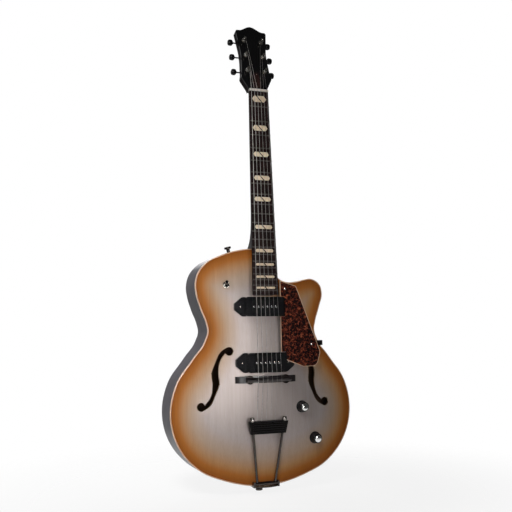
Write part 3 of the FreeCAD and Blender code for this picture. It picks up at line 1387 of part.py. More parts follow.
switch_low = -(cell.plate_thickness + cell.pot_gap)
bush = turned("toggle_bush", (
    (cell.toggle_bore_radius, switch_low), (cell.toggle_bush_radius, switch_low),
    (cell.toggle_bush_radius, cell.seat_gap),
    (cell.toggle_nut_radius, cell.seat_gap), (cell.toggle_nut_radius, cell.seat_gap + cell.toggle_nut_height),
    (cell.toggle_bore_radius, cell.seat_gap + cell.toggle_nut_height)))
bush.Placement = toggle_seat
case = box("toggle_case", cell.toggle_box_width, cell.toggle_box_length, cell.toggle_box_depth,
           toggle_seat * Placement(Vector(-size.toggle_box_width / 2, -size.toggle_box_length / 2,
                                          number(switch_low) - size.toggle_box_depth), Rotation()))
node(fuse("toggle_switch", [bush, case]), "toggle_switch")

pivot_rise = size.toggle_pivot_radius + size.touch_gap - (size.plate_thickness + size.pot_gap)
pivot = toggle_seat.multVec(Vector(0, 0, pivot_rise))
heading = math.radians(size.toggle_heading)
throw_way = Vector(math.cos(heading), 0, math.sin(heading))
toggle_out = toggle_seat.Rotation.multVec(Vector(0, 0, 1))
toggle_axis = toggle_out.cross(throw_way).normalize()
lever_way = Rotation(toggle_axis, size.toggle_throw).multVec(toggle_out)
tip_start = pivot + lever_way * size.lever_length
barrel_start = pivot - toggle_axis * (size.toggle_pivot_length / 2)
lever = Part.makeCylinder(size.toggle_pivot_radius, size.toggle_pivot_length, barrel_start, toggle_axis).fuse([
    Part.makeCylinder(size.lever_radius, size.lever_length, pivot, lever_way),
    Part.makeCylinder(size.tip_radius, size.tip_length, tip_start, lever_way)])
feature("toggle_lever", lever)

jack_inner = cell.jack_stand - cell.jack_length
jack = turned("output_jack", (
    (cell.jack_bore_radius, cell.jack_stand), (cell.jack_radius, cell.jack_stand),
    (cell.jack_radius, cell.seat_gap + cell.jack_nut_height),
    (cell.jack_nut_radius, cell.seat_gap + cell.jack_nut_height), (cell.jack_nut_radius, cell.seat_gap),
    (cell.jack_radius, cell.seat_gap),
    (cell.jack_radius, jack_inner), (cell.jack_bore_radius, jack_inner)))
jack.Placement = jack_frame
node(jack, "output_jack")

# Checks, then writing

doc.recompute()
for piece in doc.Objects:
    if "Invalid" in piece.State or "Error" in piece.State:
        raise RuntimeError("failed: %s %s" % (piece.Label, piece.State))
for piece in NODES:
    if piece.Shape.isNull() or not piece.Shape.isValid():
        raise RuntimeError("bad shape: %s" % piece.Label)
os.makedirs("parts", exist_ok=True)
for piece in NODES:
    piece.Shape.exportStep("parts/%s.step" % piece.Label)
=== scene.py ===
import json
import logging
import math
from collections.abc import Callable, Mapping, Sequence
from dataclasses import dataclass, replace
from enum import Enum
from functools import cache

import bmesh
import bpy
from mathutils import Matrix, Vector
from mathutils.bvhtree import BVHTree
from mathutils.kdtree import KDTree


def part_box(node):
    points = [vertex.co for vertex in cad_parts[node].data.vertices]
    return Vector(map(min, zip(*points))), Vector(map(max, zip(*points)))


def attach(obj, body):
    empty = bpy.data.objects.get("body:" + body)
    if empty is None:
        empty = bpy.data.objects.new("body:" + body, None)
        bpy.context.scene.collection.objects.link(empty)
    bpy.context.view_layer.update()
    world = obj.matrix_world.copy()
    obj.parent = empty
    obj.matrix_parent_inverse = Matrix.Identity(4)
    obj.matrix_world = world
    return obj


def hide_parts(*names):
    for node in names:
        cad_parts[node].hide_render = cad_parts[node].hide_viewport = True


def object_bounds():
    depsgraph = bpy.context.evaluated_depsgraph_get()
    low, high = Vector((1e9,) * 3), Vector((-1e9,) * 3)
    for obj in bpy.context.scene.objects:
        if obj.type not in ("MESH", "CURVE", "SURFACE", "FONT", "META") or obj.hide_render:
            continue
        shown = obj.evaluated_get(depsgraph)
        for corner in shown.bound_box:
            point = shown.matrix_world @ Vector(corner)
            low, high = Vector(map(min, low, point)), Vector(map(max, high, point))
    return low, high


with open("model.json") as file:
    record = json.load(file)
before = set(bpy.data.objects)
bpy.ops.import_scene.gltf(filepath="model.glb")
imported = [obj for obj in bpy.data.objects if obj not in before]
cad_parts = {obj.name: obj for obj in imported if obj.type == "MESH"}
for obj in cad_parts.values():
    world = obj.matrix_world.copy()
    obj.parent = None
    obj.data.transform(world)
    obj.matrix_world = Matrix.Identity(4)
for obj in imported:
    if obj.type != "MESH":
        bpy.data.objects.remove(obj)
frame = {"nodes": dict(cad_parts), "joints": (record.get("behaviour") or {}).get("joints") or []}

LOG = logging.getLogger("archtop")
CAD_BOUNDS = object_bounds()
NODES = frame["nodes"]
TURNS = {joint["name"]: (Vector(joint["pos_m"]), Vector(joint["axis"]))
         for joint in frame["joints"] if "pos_m" in joint}
MM = 0.001
WELD = 2e-6
AHEAD = 0.4
UP = Vector((0.0, 0.0, 1.0))
FRONT = Vector((0.0, -1.0, 0.0))

Colour = tuple[float, float, float]
Point = tuple[float, float, float]
Pairs = tuple[tuple[float, float], ...]
Stops = tuple[tuple[float, Colour], ...]
Spot = tuple[Vector, Vector]
Tree = bpy.types.NodeTree
Socket = bpy.types.NodeSocket
Sockets = Mapping[str | int, Socket]
Mesh = bpy.types.Mesh
Piece = bpy.types.Object


class Side(Enum):
    """The two sides of the guitar as signs along X."""

    BASS = -1
    TREBLE = 1


class Grain(Enum):
    """Kinds of wood grain: lines across, lines along, and their depth."""

    SPRUCE = (1150.0, 7.0, 0.55)
    MAPLE = (420.0, 24.0, 0.5)
    ROSEWOOD = (1500.0, 34.0, 0.9)
    BRUSHED = (2400.0, 60.0, 0.5)


def feed(tree: Tree, value: object, target: Socket) -> None:
    """Links a socket to an input, or sets the input's constant."""
    if isinstance(value, Socket):
        tree.links.new(value, target)
    else:
        target.default_value = value


def put(tree: Tree, kind: str, inputs: Mapping[str | int, object] | None = None, **fields: object) -> Sockets:
    """Adds a node.

    Args:
        tree: The tree that gets the node.
        kind: The node's type.
        inputs: Sockets or constants for its inputs, by name or number.
        **fields: Properties of the node.

    Returns:
        The node's outputs.
    """
    node = tree.nodes.new(kind)
    for name, value in fields.items():
        setattr(node, name, value)
    for name, value in (inputs or {}).items():
        feed(tree, value, node.inputs[name])
    return node.outputs


def maths(tree: Tree, operation: str, first: object, second: object = 0.0) -> Socket:
    """The result of a Math node whose inputs are sockets or numbers."""
    return put(tree, "ShaderNodeMath", {0: first, 1: second}, operation=operation)[0]


def vector(tree: Tree, x: object, y: object, z: object) -> Socket:
    """A vector made of sockets or numbers."""
    return put(tree, "ShaderNodeCombineXYZ", {0: x, 1: y, 2: z})[0]


def new_tree(name: str, kind: str, inputs: Sequence[tuple[str, str, object]],
             outputs: Sequence[tuple[str, str]]) -> tuple[Tree, Sockets, Sockets]:
    """Makes a node tree with named sockets.

    Args:
        name: The tree's name.
        kind: The tree's type.
        inputs: Name, socket type and default of each input.
        outputs: Name and socket type of each output.

    Returns:
        The tree, the sockets that it takes and those that it gives.
    """
    tree = bpy.data.node_groups.new(name, kind)
    for label, form, value in inputs:
        made = tree.interface.new_socket(name=label, in_out="INPUT", socket_type="NodeSocket" + form)
        if value is not None:
            made.default_value = value
    for label, form in outputs:
        tree.interface.new_socket(name=label, in_out="OUTPUT", socket_type="NodeSocket" + form)
    return tree, put(tree, "NodeGroupInput"), tree.nodes.new("NodeGroupOutput").inputs


class SharedEffects:
    """Shader node groups that several finishes use."""

    @staticmethod
    @cache
    def grain() -> Tree:
        """Wood grain along Z, with inputs Vector, Across, Along and Depth and outputs Mask and Height."""
        tree, given, result = new_tree(
            "wood grain", "ShaderNodeTree",
            (("Vector", "Vector", None), ("Across", "Float", 800.0), ("Along", "Float", 10.0), ("Depth", "Float", 0.5)),
            (("Mask", "Float"), ("Height", "Float")))
        across, along = given["Across"], given["Along"]
        scaled = put(tree, "ShaderNodeVectorMath", {0: given["Vector"], 1: vector(tree, across, across, along)},
                     operation="MULTIPLY")[0]
        fine = put(tree, "ShaderNodeTexNoise", {"Vector": scaled, "Scale": 1.0, "Detail": 3.0})["Fac"]
        broad = put(tree, "ShaderNodeTexNoise", {"Vector": scaled, "Scale": 0.12, "Detail": 2.0})["Fac"]
        mixed = maths(tree, "ADD", maths(tree, "MULTIPLY", fine, 0.6), maths(tree, "MULTIPLY", broad, 0.4))
        spread = maths(tree, "MULTIPLY", maths(tree, "SUBTRACT", mixed, 0.5), given["Depth"])
        feed(tree, maths(tree, "ADD", maths(tree, "MULTIPLY", spread, 3.0), 0.5), result["Mask"])
        feed(tree, fine, result["Height"])
        return tree

    @staticmethod
    @cache
    def handling() -> Tree:
        """Gloss varied as by handling: inputs Vector, Scale, Roughness and Spread, outputs Roughness and Height."""
        tree, given, result = new_tree(
            "handling marks", "ShaderNodeTree",
            (("Vector", "Vector", None), ("Scale", "Float", 60.0), ("Roughness", "Float", 0.3),
             ("Spread", "Float", 0.1)),
            (("Roughness", "Float"), ("Height", "Float")))
        cloud = put(tree, "ShaderNodeTexNoise", {
            "Vector": given["Vector"], "Scale": given["Scale"], "Detail": 5.0})["Fac"]
        shift = maths(tree, "MULTIPLY", maths(tree, "SUBTRACT", cloud, 0.5), given["Spread"])
        feed(tree, maths(tree, "ADD", given["Roughness"], shift), result["Roughness"])
        feed(tree, cloud, result["Height"])
        return tree


class Shader:
    """A material's nodes around one Principled shader."""

    def __init__(self, name: str) -> None:
        """Makes an empty material of that name."""
        self.material = bpy.data.materials.new(name)
        self.material.use_nodes = True
        self.tree = self.material.node_tree
        self.bsdf = self.tree.nodes["Principled BSDF"]
        self.place = put(self.tree, "ShaderNodeTexCoord")["Object"]

    def set(self, **values: object) -> None:
        """Feeds the shader's own inputs, named with underscores, from sockets or constants."""
        for name, value in values.items():
            feed(self.tree, value, self.bsdf.inputs[name.replace("_", " ")])

    def ramp(self, source: Socket, stops: Stops) -> Socket:
        """Turns a value into a colour by stops, each with its place from 0 to 1."""
        node = self.tree.nodes.new("ShaderNodeValToRGB")
        feed(self.tree, source, node.inputs["Fac"])
        elements = node.color_ramp.elements
        while len(elements) < len(stops):
            elements.new(0.5)
        for element, (spot, colour) in zip(elements, stops):
            element.position = spot
            element.color = (*colour, 1.0)
        return node.outputs["Color"]

    def mix(self, blend: str, amount: object, first: Socket, second: object) -> Socket:
        """Mixes a colour with a second one, which is a socket or a constant."""
        other = second if isinstance(second, Socket) else (*second, 1.0)
        return put(self.tree, "ShaderNodeMix", {"Factor": amount, 6: first, 7: other}, data_type="RGBA",
                   blend_type=blend)[2]

    def attribute(self, name: str) -> Socket:
        """A value that the mesh carries."""
        return put(self.tree, "ShaderNodeAttribute", attribute_name=name)["Fac"]

    def grain(self, kind: Grain) -> Sockets:
        """Places the grain's group."""
        across, along, depth = kind.value
        return put(self.tree, "ShaderNodeGroup",
                   {"Vector": self.place, "Across": across, "Along": along, "Depth": depth},
                   node_tree=SharedEffects.grain())

    def gloss(self, roughness: float, spread: float, scale: float) -> Socket:
        """Feeds the roughness, varied by handling marks of some fineness, and gives the marks' height."""
        marks = put(self.tree, "ShaderNodeGroup",
                    {"Vector": self.place, "Scale": scale, "Roughness": roughness, "Spread": spread},
                    node_tree=SharedEffects.handling())
        self.set(Roughness=marks["Roughness"])
        return marks["Height"]

    def bump(self, height: Socket, distance: float, strength: float) -> None:
        """Feeds the normal from a height, with its depth in metres and its share."""
        made = put(self.tree, "ShaderNodeBump", {"Height": height, "Distance": distance, "Strength": strength})
        self.set(Normal=made["Normal"])


@dataclass(frozen=True)
class Finish:
    """A finish with its record slot."""

    name: str
    slot: str

    def shade(self, shader: Shader) -> None:
        """Builds the nodes of the finish."""
        raise NotImplementedError

    @cache
    def material(self) -> bpy.types.Material:
        """The finish's material, made once."""
        shader = Shader(self.name + " finish")
        self.shade(shader)
        return shader.material


@dataclass(frozen=True)
class WoodFinish(Finish):
    """Lacquered or oiled wood with grain along Z."""

    dark: Colour
    light: Colour
    grain: Grain = Grain.MAPLE
    roughness: float = 0.3
    coat: float = 0.0
    relief: float = 0.00004
    shine: float = 0.4
    bare: Colour | None = None

    def shade(self, shader: Shader) -> None:
        """Builds the grain, the gloss and the relief."""
        lines = shader.grain(self.grain)
        tint = shader.ramp(lines["Mask"], ((0.15, self.dark), (0.85, self.light)))
        if self.bare is not None:
            tint = shader.mix("MIX", shader.attribute("bare"), tint, self.bare)
        shader.gloss(self.roughness, spread=0.12, scale=35.0)
        shader.bump(lines["Height"], self.relief, strength=0.5)
        shader.set(Base_Color=tint, Coat_Weight=self.coat, Coat_Roughness=0.06, Specular_IOR_Level=self.shine)


@dataclass(frozen=True)
class BurstFinish(Finish):
    """A top shaded from a pale middle to an amber edge, over fine spruce grain."""

    reach: float = 0.15
    stops: Stops = (
        (0.0, (0.275, 0.082, 0.013)), (0.08, (0.39, 0.138, 0.030)), (0.16, (0.43, 0.232, 0.108)),
        (0.27, (0.41, 0.300, 0.222)), (0.46, (0.39, 0.340, 0.325)))
    line: Colour = (0.80, 0.78, 0.76)
    field: Colour = (1.0, 1.0, 1.0)
    bare: Colour = (0.17, 0.105, 0.06)
    satin: float = 0.6
    satin_start: float = 0.02
    satin_full: float = 0.08

    def shade(self, shader: Shader) -> None:
        """Builds the shading from the distance to the edge, then the grain and the gloss."""
        tree = shader.tree
        edge, bare = shader.attribute("edge"), shader.attribute("bare")
        tint = shader.ramp(maths(tree, "DIVIDE", edge, self.reach), self.stops)
        lines = shader.grain(Grain.SPRUCE)
        tone = shader.ramp(lines["Mask"], ((0.1, self.line), (0.9, self.field)))
        tint = shader.mix("MULTIPLY", 1.0, shader.mix("MIX", bare, tint, self.bare), tone)
        satin = put(tree, "ShaderNodeMapRange", {
            "Value": edge, "From Min": self.satin_start, "From Max": self.satin_full, "To Max": self.satin})
        lacquered = maths(tree, "SUBTRACT", 1.0, bare)
        shader.gloss(0.42, spread=0.1, scale=18.0)
        shader.bump(lines["Height"], 0.00003, strength=0.4)
        shader.set(Base_Color=tint, Metallic=maths(tree, "MULTIPLY", satin[0], lacquered), Specular_IOR_Level=0.04)


@dataclass(frozen=True)
class PlasticFinish(Finish):
    """Moulded plastic with faint clouding."""

    tint: Colour
    shadow: Colour
    roughness: float = 0.22
    coat: float = 0.3
    clouding: float = 90.0
    shine: float = 0.5

    def shade(self, shader: Shader) -> None:
        """Builds the clouding, the gloss and a faint orange peel."""
        clouds = shader.gloss(self.roughness, spread=0.14, scale=self.clouding)
        shader.bump(clouds, 0.00003, strength=0.25)
        shader.set(Base_Color=shader.ramp(clouds, ((0.3, self.shadow), (0.7, self.tint))), Coat_Weight=self.coat,
                   Coat_Roughness=0.05, Specular_IOR_Level=self.shine)


@dataclass(frozen=True)
class MetalFinish(Finish):
    """Plated metal with handling marks."""

    tint: Colour
    dull: Colour
    roughness: float = 0.18
    brushed: float = 0.0

    def shade(self, shader: Shader) -> None:
        """Builds the plating's tint and gloss, with brushing where it has any."""
        marks = shader.gloss(self.roughness, spread=0.16, scale=140.0)
        shader.set(Base_Color=shader.ramp(marks, ((0.3, self.dull), (0.62, self.tint))), Metallic=1.0)
        if self.brushed > 0.0:
            shader.bump(shader.grain(Grain.BRUSHED)["Height"], 0.00002, self.brushed)


@dataclass(frozen=True)
class TortoiseFinish(Finish):
    """Mottled red-brown celluloid under gloss."""

    stops: Stops = (
        (0.42, (0.005, 0.0015, 0.0015)), (0.53, (0.026, 0.005, 0.003)), (0.62, (0.10, 0.016, 0.007)),
        (0.72, (0.27, 0.075, 0.033)))

    def shade(self, shader: Shader) -> None:
        """Builds the mottling from two scales of noise."""
        tree = shader.tree
        warp = put(tree, "ShaderNodeTexNoise", {
            "Vector": shader.place, "Scale": 260.0, "Detail": 3.0, "Distortion": 1.4})
        chips = put(tree, "ShaderNodeTexVoronoi", {"Vector": shader.place, "Scale": 150.0, "Smoothness": 0.35},
                    feature="SMOOTH_F1")
        shift = maths(tree, "MULTIPLY", maths(tree, "SUBTRACT", chips["Distance"], 0.4), 0.3)
        blend = maths(tree, "ADD", warp["Fac"], shift)
        shader.gloss(0.12, spread=0.06, scale=40.0)
        shader.set(Base_Color=shader.ramp(blend, self.stops), Coat_Weight=0.3, Coat_Roughness=0.04,
                   Specular_IOR_Level=0.3)


@dataclass(frozen=True)
class StringFinish(Finish):
    """Steel strings, with a wrap on the thick ones."""

    tint: Colour = (0.46, 0.44, 0.42)
    groove: Colour = (0.32, 0.31, 0.29)
    wrap: float = 1600.0
    plain_from: float = 0.004

    def shade(self, shader: Shader) -> None:
        """Builds the wrap as fine rings along Z on the bass side."""
        tree = shader.tree
        parts = put(tree, "ShaderNodeSeparateXYZ", {0: shader.place})
        turn = maths(tree, "SINE", maths(tree, "MULTIPLY", parts["Z"], self.wrap * math.tau))
        wound = maths(tree, "LESS_THAN", parts["X"], self.plain_from)
        marks = shader.gloss(0.4, spread=0.1, scale=200.0)
        shader.bump(maths(tree, "MULTIPLY", turn, wound), 0.00001, strength=0.2)
        shader.set(Base_Color=shader.ramp(marks, ((0.3, self.groove), (0.6, self.tint))), Metallic=1.0)


BURST = BurstFinish("burst top", "spruce_top")
SIDES = WoodFinish("dark sides", "dark_maple", (0.030, 0.024, 0.037), (0.052, 0.042, 0.062), roughness=0.34, coat=0.05,
                   shine=0.16)
BACK = replace(SIDES, name="dark back", bare=(0.20, 0.125, 0.07))
NECK_WOOD = WoodFinish("dark neck", "dark_maple", (0.008, 0.006, 0.007), (0.022, 0.015, 0.017), roughness=0.45,
                       shine=0.03)
BARE_WOOD = WoodFinish("bare wood", "raw_wood", (0.20, 0.12, 0.06), (0.32, 0.21, 0.12), Grain.SPRUCE, roughness=0.7)
ROSEWOOD = WoodFinish("rosewood", "rosewood", (0.005, 0.003, 0.003), (0.024, 0.011, 0.011), Grain.ROSEWOOD,
                      roughness=0.55, relief=0.0001, shine=0.08)
EBONY = WoodFinish("dark bridge wood", "rosewood", (0.004, 0.003, 0.003), (0.014, 0.010, 0.010), Grain.ROSEWOOD,
                   coat=0.4)
CREAM = PlasticFinish("cream binding", "cream_plastic", (0.64, 0.42, 0.28), (0.55, 0.34, 0.21), roughness=0.3,
                      clouding=30.0)
PEARL = PlasticFinish("pearl", "pearl", (0.86, 0.72, 0.52), (0.62, 0.48, 0.33), roughness=0.3, clouding=160.0)
BONE = PlasticFinish("bone", "bone", (0.90, 0.84, 0.78), (0.80, 0.72, 0.63), roughness=0.4, coat=0.1, clouding=220.0)
HEAD_BLACK = PlasticFinish("headstock lacquer", "black_gloss", (0.0035, 0.0035, 0.004), (0.002, 0.002, 0.0025),
                           roughness=0.14, coat=0.2, clouding=24.0, shine=0.4)
BLACK = PlasticFinish("black plastic", "black_plastic", (0.0052, 0.0050, 0.0062), (0.003, 0.003, 0.0038),
                      roughness=0.16, coat=0.15, clouding=70.0, shine=0.25)
BROWN = PlasticFinish("brown cover", "brown_plastic", (0.040, 0.012, 0.008), (0.022, 0.007, 0.005))
COIL = PlasticFinish("wound coil", "coil", (0.05, 0.03, 0.02), (0.03, 0.018, 0.012), roughness=0.6, coat=0.0,
                     clouding=300.0)
BLACK_METAL = PlasticFinish("black enamel", "black_metal", (0.0045, 0.0032, 0.0030), (0.002, 0.0016, 0.0015),
                            roughness=0.3, coat=0.0, clouding=60.0, shine=0.1)
TORTOISE = TortoiseFinish("tortoise", "tortoise")
NICKEL = MetalFinish("nickel", "nickel", (0.66, 0.63, 0.58), (0.50, 0.46, 0.40))
CHROME = MetalFinish("bright plating", "nickel", (0.80, 0.79, 0.78), (0.70, 0.68, 0.66), 0.07)
FRET_WIRE = MetalFinish("fret wire", "nickel", (0.085, 0.075, 0.068), (0.055, 0.048, 0.044), 0.36, 0.3)
DARK_METAL = MetalFinish("dark plating", "nickel", (0.075, 0.064, 0.058), (0.045, 0.038, 0.034), 0.2)
AGED_NICKEL = MetalFinish("aged nickel", "nickel", (0.38, 0.35, 0.32), (0.23, 0.21, 0.19), 0.22)
STEEL = StringFinish("string steel", "steel")


def basis(origin: Vector, axis: Vector) -> Matrix:
    """A placement at an origin, whose Z axis follows a direction."""
    z = axis.normalized()
    x = UP.cross(z)
    if x.length < 1e-4:
        x = Vector((1.0, 0.0, 0.0))
    x.normalize()
    return Matrix.Translation(origin) @ Matrix((x, z.cross(x), z)).transposed().to_4x4()


def linked(name: str, data: object) -> Piece:
    """A new object in the scene."""
    made = bpy.data.objects.new(name, data)
    bpy.context.scene.collection.objects.link(made)
    return made


def smooth(mesh: Mesh, sharp: float) -> None:
    """Shades a mesh smooth, apart from edges sharper than an angle in degrees."""
    mesh.polygons.foreach_set("use_smooth", [True] * len(mesh.polygons))
    mesh.set_sharp_from_angle(angle=math.radians(sharp))


def settle(name: str, mesh: Mesh, finish: Finish, body: str, nodes: Sequence[str] = (), sharp: float = 38.0) -> Piece:
    """Finishes a piece: its shading, material, body and the nodes that it stands for.

    Args:
        name: The piece's name.
        mesh: Its mesh, in the part's frame.
        finish: Its finish.
        body: The body that it rides on.
        nodes: CAD nodes that it replaces.
        sharp: The angle in degrees past which an edge stays sharp.

    Returns:
        The piece.
    """
    piece = linked(name, mesh)
    smooth(mesh, sharp)
    mesh.materials.clear()
    mesh.materials.append(finish.material())
    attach(piece, body)
    if nodes:
        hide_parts(*nodes)
    LOG.info("%s: %d faces on %s", name, len(mesh.polygons), body)
    return piece


def paint(finish: Finish, *nodes: str) -> None:
    """Gives CAD nodes a finish."""
    for name in nodes:
        slots = NODES[name].data.materials
        slots.clear()
        slots.append(finish.material())
        LOG.info("%s: %s", name, finish.name)


def merged(node: str) -> bmesh.types.BMesh:
    """A copy of a CAD node's mesh with its loose triangles joined."""
    shape = bmesh.new()
    shape.from_mesh(NODES[node].data)
    bmesh.ops.remove_doubles(shape, verts=shape.verts, dist=WELD)
    return shape


def kept(shape: bmesh.types.BMesh, name: str) -> Mesh:
    """A mesh of that name from a shape, which is freed."""
    mesh = bpy.data.meshes.new(name)
    shape.to_mesh(mesh)
    shape.free()
    return mesh


def baked(holder: Piece) -> Mesh:
    """The mesh that an object's modifiers make. The object is removed."""
    graph = bpy.context.evaluated_depsgraph_get()
    mesh = bpy.data.meshes.new_from_object(holder.evaluated_get(graph))
    bpy.data.objects.remove(holder)
    return mesh


def softened(node: str, width: float, finish: Finish, body: str = "root", segments: int = 2) -> Piece:
    """A copy of a CAD node with its sharp edges rounded, which stands for the node.

    Args:
        node: The node's name.
        width: The rounding's width in metres.
        finish: The finish.
        body: The body that it rides on.
        segments: Steps of the rounding.

    Returns:
        The piece.
    """
    flat_deg, sharp_deg, weight_deg, edge_deg = 0.4, 34.0, 50.0, 60.0
    shape = merged(node)
    bmesh.ops.dissolve_limit(shape, angle_limit=math.radians(flat_deg), verts=shape.verts, edges=shape.edges)
    sharp = [edge for edge in shape.edges
             if len(edge.link_faces) == 2 and edge.calc_face_angle(0.0) > math.radians(sharp_deg)]
    bmesh.ops.bevel(shape, geom=sharp, offset=width, segments=segments, profile=0.5, affect="EDGES", clamp_overlap=True)
    bmesh.ops.triangulate(shape, faces=[face for face in shape.faces if len(face.verts) > 4])
    holder = linked("holder", kept(shape, node + "_soft"))
    smooth(holder.data, weight_deg)
    holder.modifiers.new("weights", "WEIGHTED_NORMAL").keep_sharp = True
    return settle(node + "_piece", baked(holder), finish, body, (node,), edge_deg)


def turned(name: str, profile: Pairs, place: Matrix, finish: Finish, body: str,
           nodes: Sequence[str] = (), segments: int = 48) -> Piece:
    """A lathe-turned piece.

    Args:
        name: The piece's name.
        profile: Radius and height pairs in millimetres, from the axis to the axis.
        place: The placement of the axis.
        finish: The finish.
        body: The body that it rides on.
        nodes: CAD nodes that it replaces.
        segments: Steps round the axis.

    Returns:
        The piece.
    """
    shape = bmesh.new()
    rings: list[list[bmesh.types.BMVert]] = []
    for radius, height in profile:
        turns = [math.tau * k / segments for k in range(segments)] if radius > 0.0 else [0.0]
        rings.append([shape.verts.new((radius * MM * math.cos(turn), radius * MM * math.sin(turn), height * MM))
                      for turn in turns])
    for low, high in zip(rings, rings[1:]):
        for k in range(segments):
            corners = [low[k % len(low)], low[(k + 1) % len(low)], high[(k + 1) % len(high)], high[k % len(high)]]
            unique = list(dict.fromkeys(corners))
            if len(unique) > 2:
                shape.faces.new(unique)
    bmesh.ops.recalc_face_normals(shape, faces=shape.faces)
    shape.transform(place)
    return settle(name, kept(shape, name), finish, body, nodes)


def face_tree(mesh: Mesh) -> BVHTree:
    """A mesh's faces, for finding places on them."""
    return BVHTree.FromPolygons([v.co for v in mesh.vertices], [p.vertices for p in mesh.polygons])


def hit(node: str, start: Vector, aim: Vector) -> Spot:
    """Where a straight line from a start meets a CAD node, and the surface's outward normal there."""
    spot, normal, _, _ = face_tree(NODES[node].data).ray_cast(start, aim)
    if spot is None:
        raise ValueError(f"nothing of {node} at {start}")
    return spot, (normal if normal.dot(aim) < 0 else -normal)


def on_front(node: str, x: float, z: float) -> Spot:
    """The front of a CAD node at a place, in metres."""
    return hit(node, Vector((x, -AHEAD, z)), -FRONT)


class NodeTrees:
    """Geometry Nodes trees for what repeats."""

    @staticmethod
    def start(name: str, **numbers: float) -> tuple[Tree, Sockets, Sockets]:
        """Makes a tree that takes a mesh, numbers with these defaults and a material, and gives a mesh."""
        inputs = [(label, "Int" if isinstance(value, int) else "Float", value) for label, value in numbers.items()]
        return new_tree(
            name, "GeometryNodeTree", (("Geometry", "Geometry", None), *inputs, ("Material", "Material", None)),
            (("Geometry", "Geometry"),))

    @staticmethod
    def close(tree: Tree, given: Sockets, result: Sockets, source: Socket) -> None:
        """Ends a tree in Realize Instances and Set Material."""
        real = put(tree, "GeometryNodeRealizeInstances", {0: source})
        dress = put(tree, "GeometryNodeSetMaterial", {"Geometry": real[0], "Material": given["Material"]})
        feed(tree, dress[0], result[0])

    @staticmethod
    @cache
    def screws() -> Tree:
        """Slotted round heads on points that carry an aim, with inputs Radius, Rise, Slot and Material."""
        tree, given, result = NodeTrees.start("screw heads", Radius=0.002, Rise=0.001, Slot=0.0005)
        radius, rise = given["Radius"], given["Rise"]
        ball = put(tree, "GeometryNodeMeshUVSphere", {"Segments": 20, "Rings": 10, "Radius": radius})
        squash = vector(tree, 1.0, 1.0, maths(tree, "DIVIDE", rise, radius))
        flat = put(tree, "GeometryNodeTransform", {"Geometry": ball["Mesh"], "Scale": squash})
        bar_size = vector(tree, maths(tree, "MULTIPLY", radius, 3.0), given["Slot"], rise)
        bar = put(tree, "GeometryNodeMeshCube", {"Size": bar_size})
        lift = put(tree, "GeometryNodeTransform", {
            "Geometry": bar["Mesh"], "Translation": vector(tree, 0.0, 0.0, rise)})
        head = put(tree, "GeometryNodeMeshBoolean", {0: flat[0], 1: lift[0]}, operation="DIFFERENCE")
        points = put(tree, "GeometryNodeMeshToPoints", {"Mesh": given["Geometry"]})
        aim = put(tree, "GeometryNodeInputNamedAttribute", {"Name": "aim"}, data_type="FLOAT_VECTOR")
        turn = put(tree, "FunctionNodeAlignRotationToVector", {"Vector": aim[0]}, axis="Z")
        spread = put(tree, "GeometryNodeInstanceOnPoints", {
            "Points": points[0], "Instance": head[0], "Rotation": turn[0]})
        NodeTrees.close(tree, given, result, spread[0])
        return tree

    @staticmethod
    @cache
    def knurl() -> Tree:
        """Ribs round a wheel's rim, with inputs Radius, Width, Count, Depth and Material."""
        tree, given, result = NodeTrees.start("knurled rim", Radius=0.009, Width=0.003, Count=40, Depth=0.0006)
        depth = given["Depth"]
        ring = put(tree, "GeometryNodeMeshCircle", {"Vertices": given["Count"], "Radius": given["Radius"]})
        rib = put(tree, "GeometryNodeMeshCube", {"Size": vector(tree, depth, depth, given["Width"])})
        place = put(tree, "GeometryNodeInputPosition")
        turn = put(tree, "FunctionNodeAlignRotationToVector", {"Vector": place[0]}, axis="X")
        tilt = put(tree, "FunctionNodeRotateRotation",
                   {"Rotation": turn[0], "Rotate By": (0.0, 0.0, math.radians(45.0))}, rotation_space="LOCAL")
        spread = put(tree, "GeometryNodeInstanceOnPoints", {
            "Points": ring["Mesh"], "Instance": rib["Mesh"], "Rotation": tilt[0]})
        NodeTrees.close(tree, given, result, spread[0])
        return tree

    @staticmethod
    @cache
    def coil() -> Tree:
        """A wire wound on a cylinder, with inputs Radius, Wire, Turns, Height and Material."""
        tree, given, result = NodeTrees.start("wound wire", Radius=0.0034, Wire=0.0004, Turns=3.0, Height=0.003)
        path = put(tree, "GeometryNodeCurveSpiral",
                   {"Resolution": 28, "Rotations": given["Turns"], "Start Radius": given["Radius"],
                    "End Radius": given["Radius"], "Height": given["Height"]})
        section = put(tree, "GeometryNodeCurvePrimitiveCircle", {"Resolution": 8, "Radius": given["Wire"]})
        sweep = put(tree, "GeometryNodeCurveToMesh", {"Curve": path[0], "Profile Curve": section[0], "Fill Caps": True})
        NodeTrees.close(tree, given, result, sweep[0])
        return tree


def grown(name: str, tree: Tree, place: Matrix, finish: Finish, body: str, nodes: Sequence[str] = (),
          base: Mesh | None = None, **values: object) -> Piece:
    """Runs a tree on a base mesh and keeps the result as a plain piece.

    Args:
        name: The piece's name.
        tree: The Geometry Nodes tree.
        place: The placement of the result.
        finish: The finish.
        body: The body that it rides on.
        nodes: CAD nodes that it replaces.
        base: The mesh that the tree reads, where it reads one.
        **values: The tree's inputs.

    Returns:
        The piece.
    """
    holder = linked(name + "_base", base or bpy.data.meshes.new(name + "_base"))
    modifier = holder.modifiers.new("repeat", "NODES")
    modifier.node_group = tree
    identifiers = {item.name: item.identifier for item in tree.interface.items_tree if item.in_out == "INPUT"}
    for label, value in (*values.items(), ("Material", finish.material())):
        modifier[identifiers[label]] = value
    mesh = baked(holder)
    mesh.transform(place)
    return settle(name, mesh, finish, body, nodes)


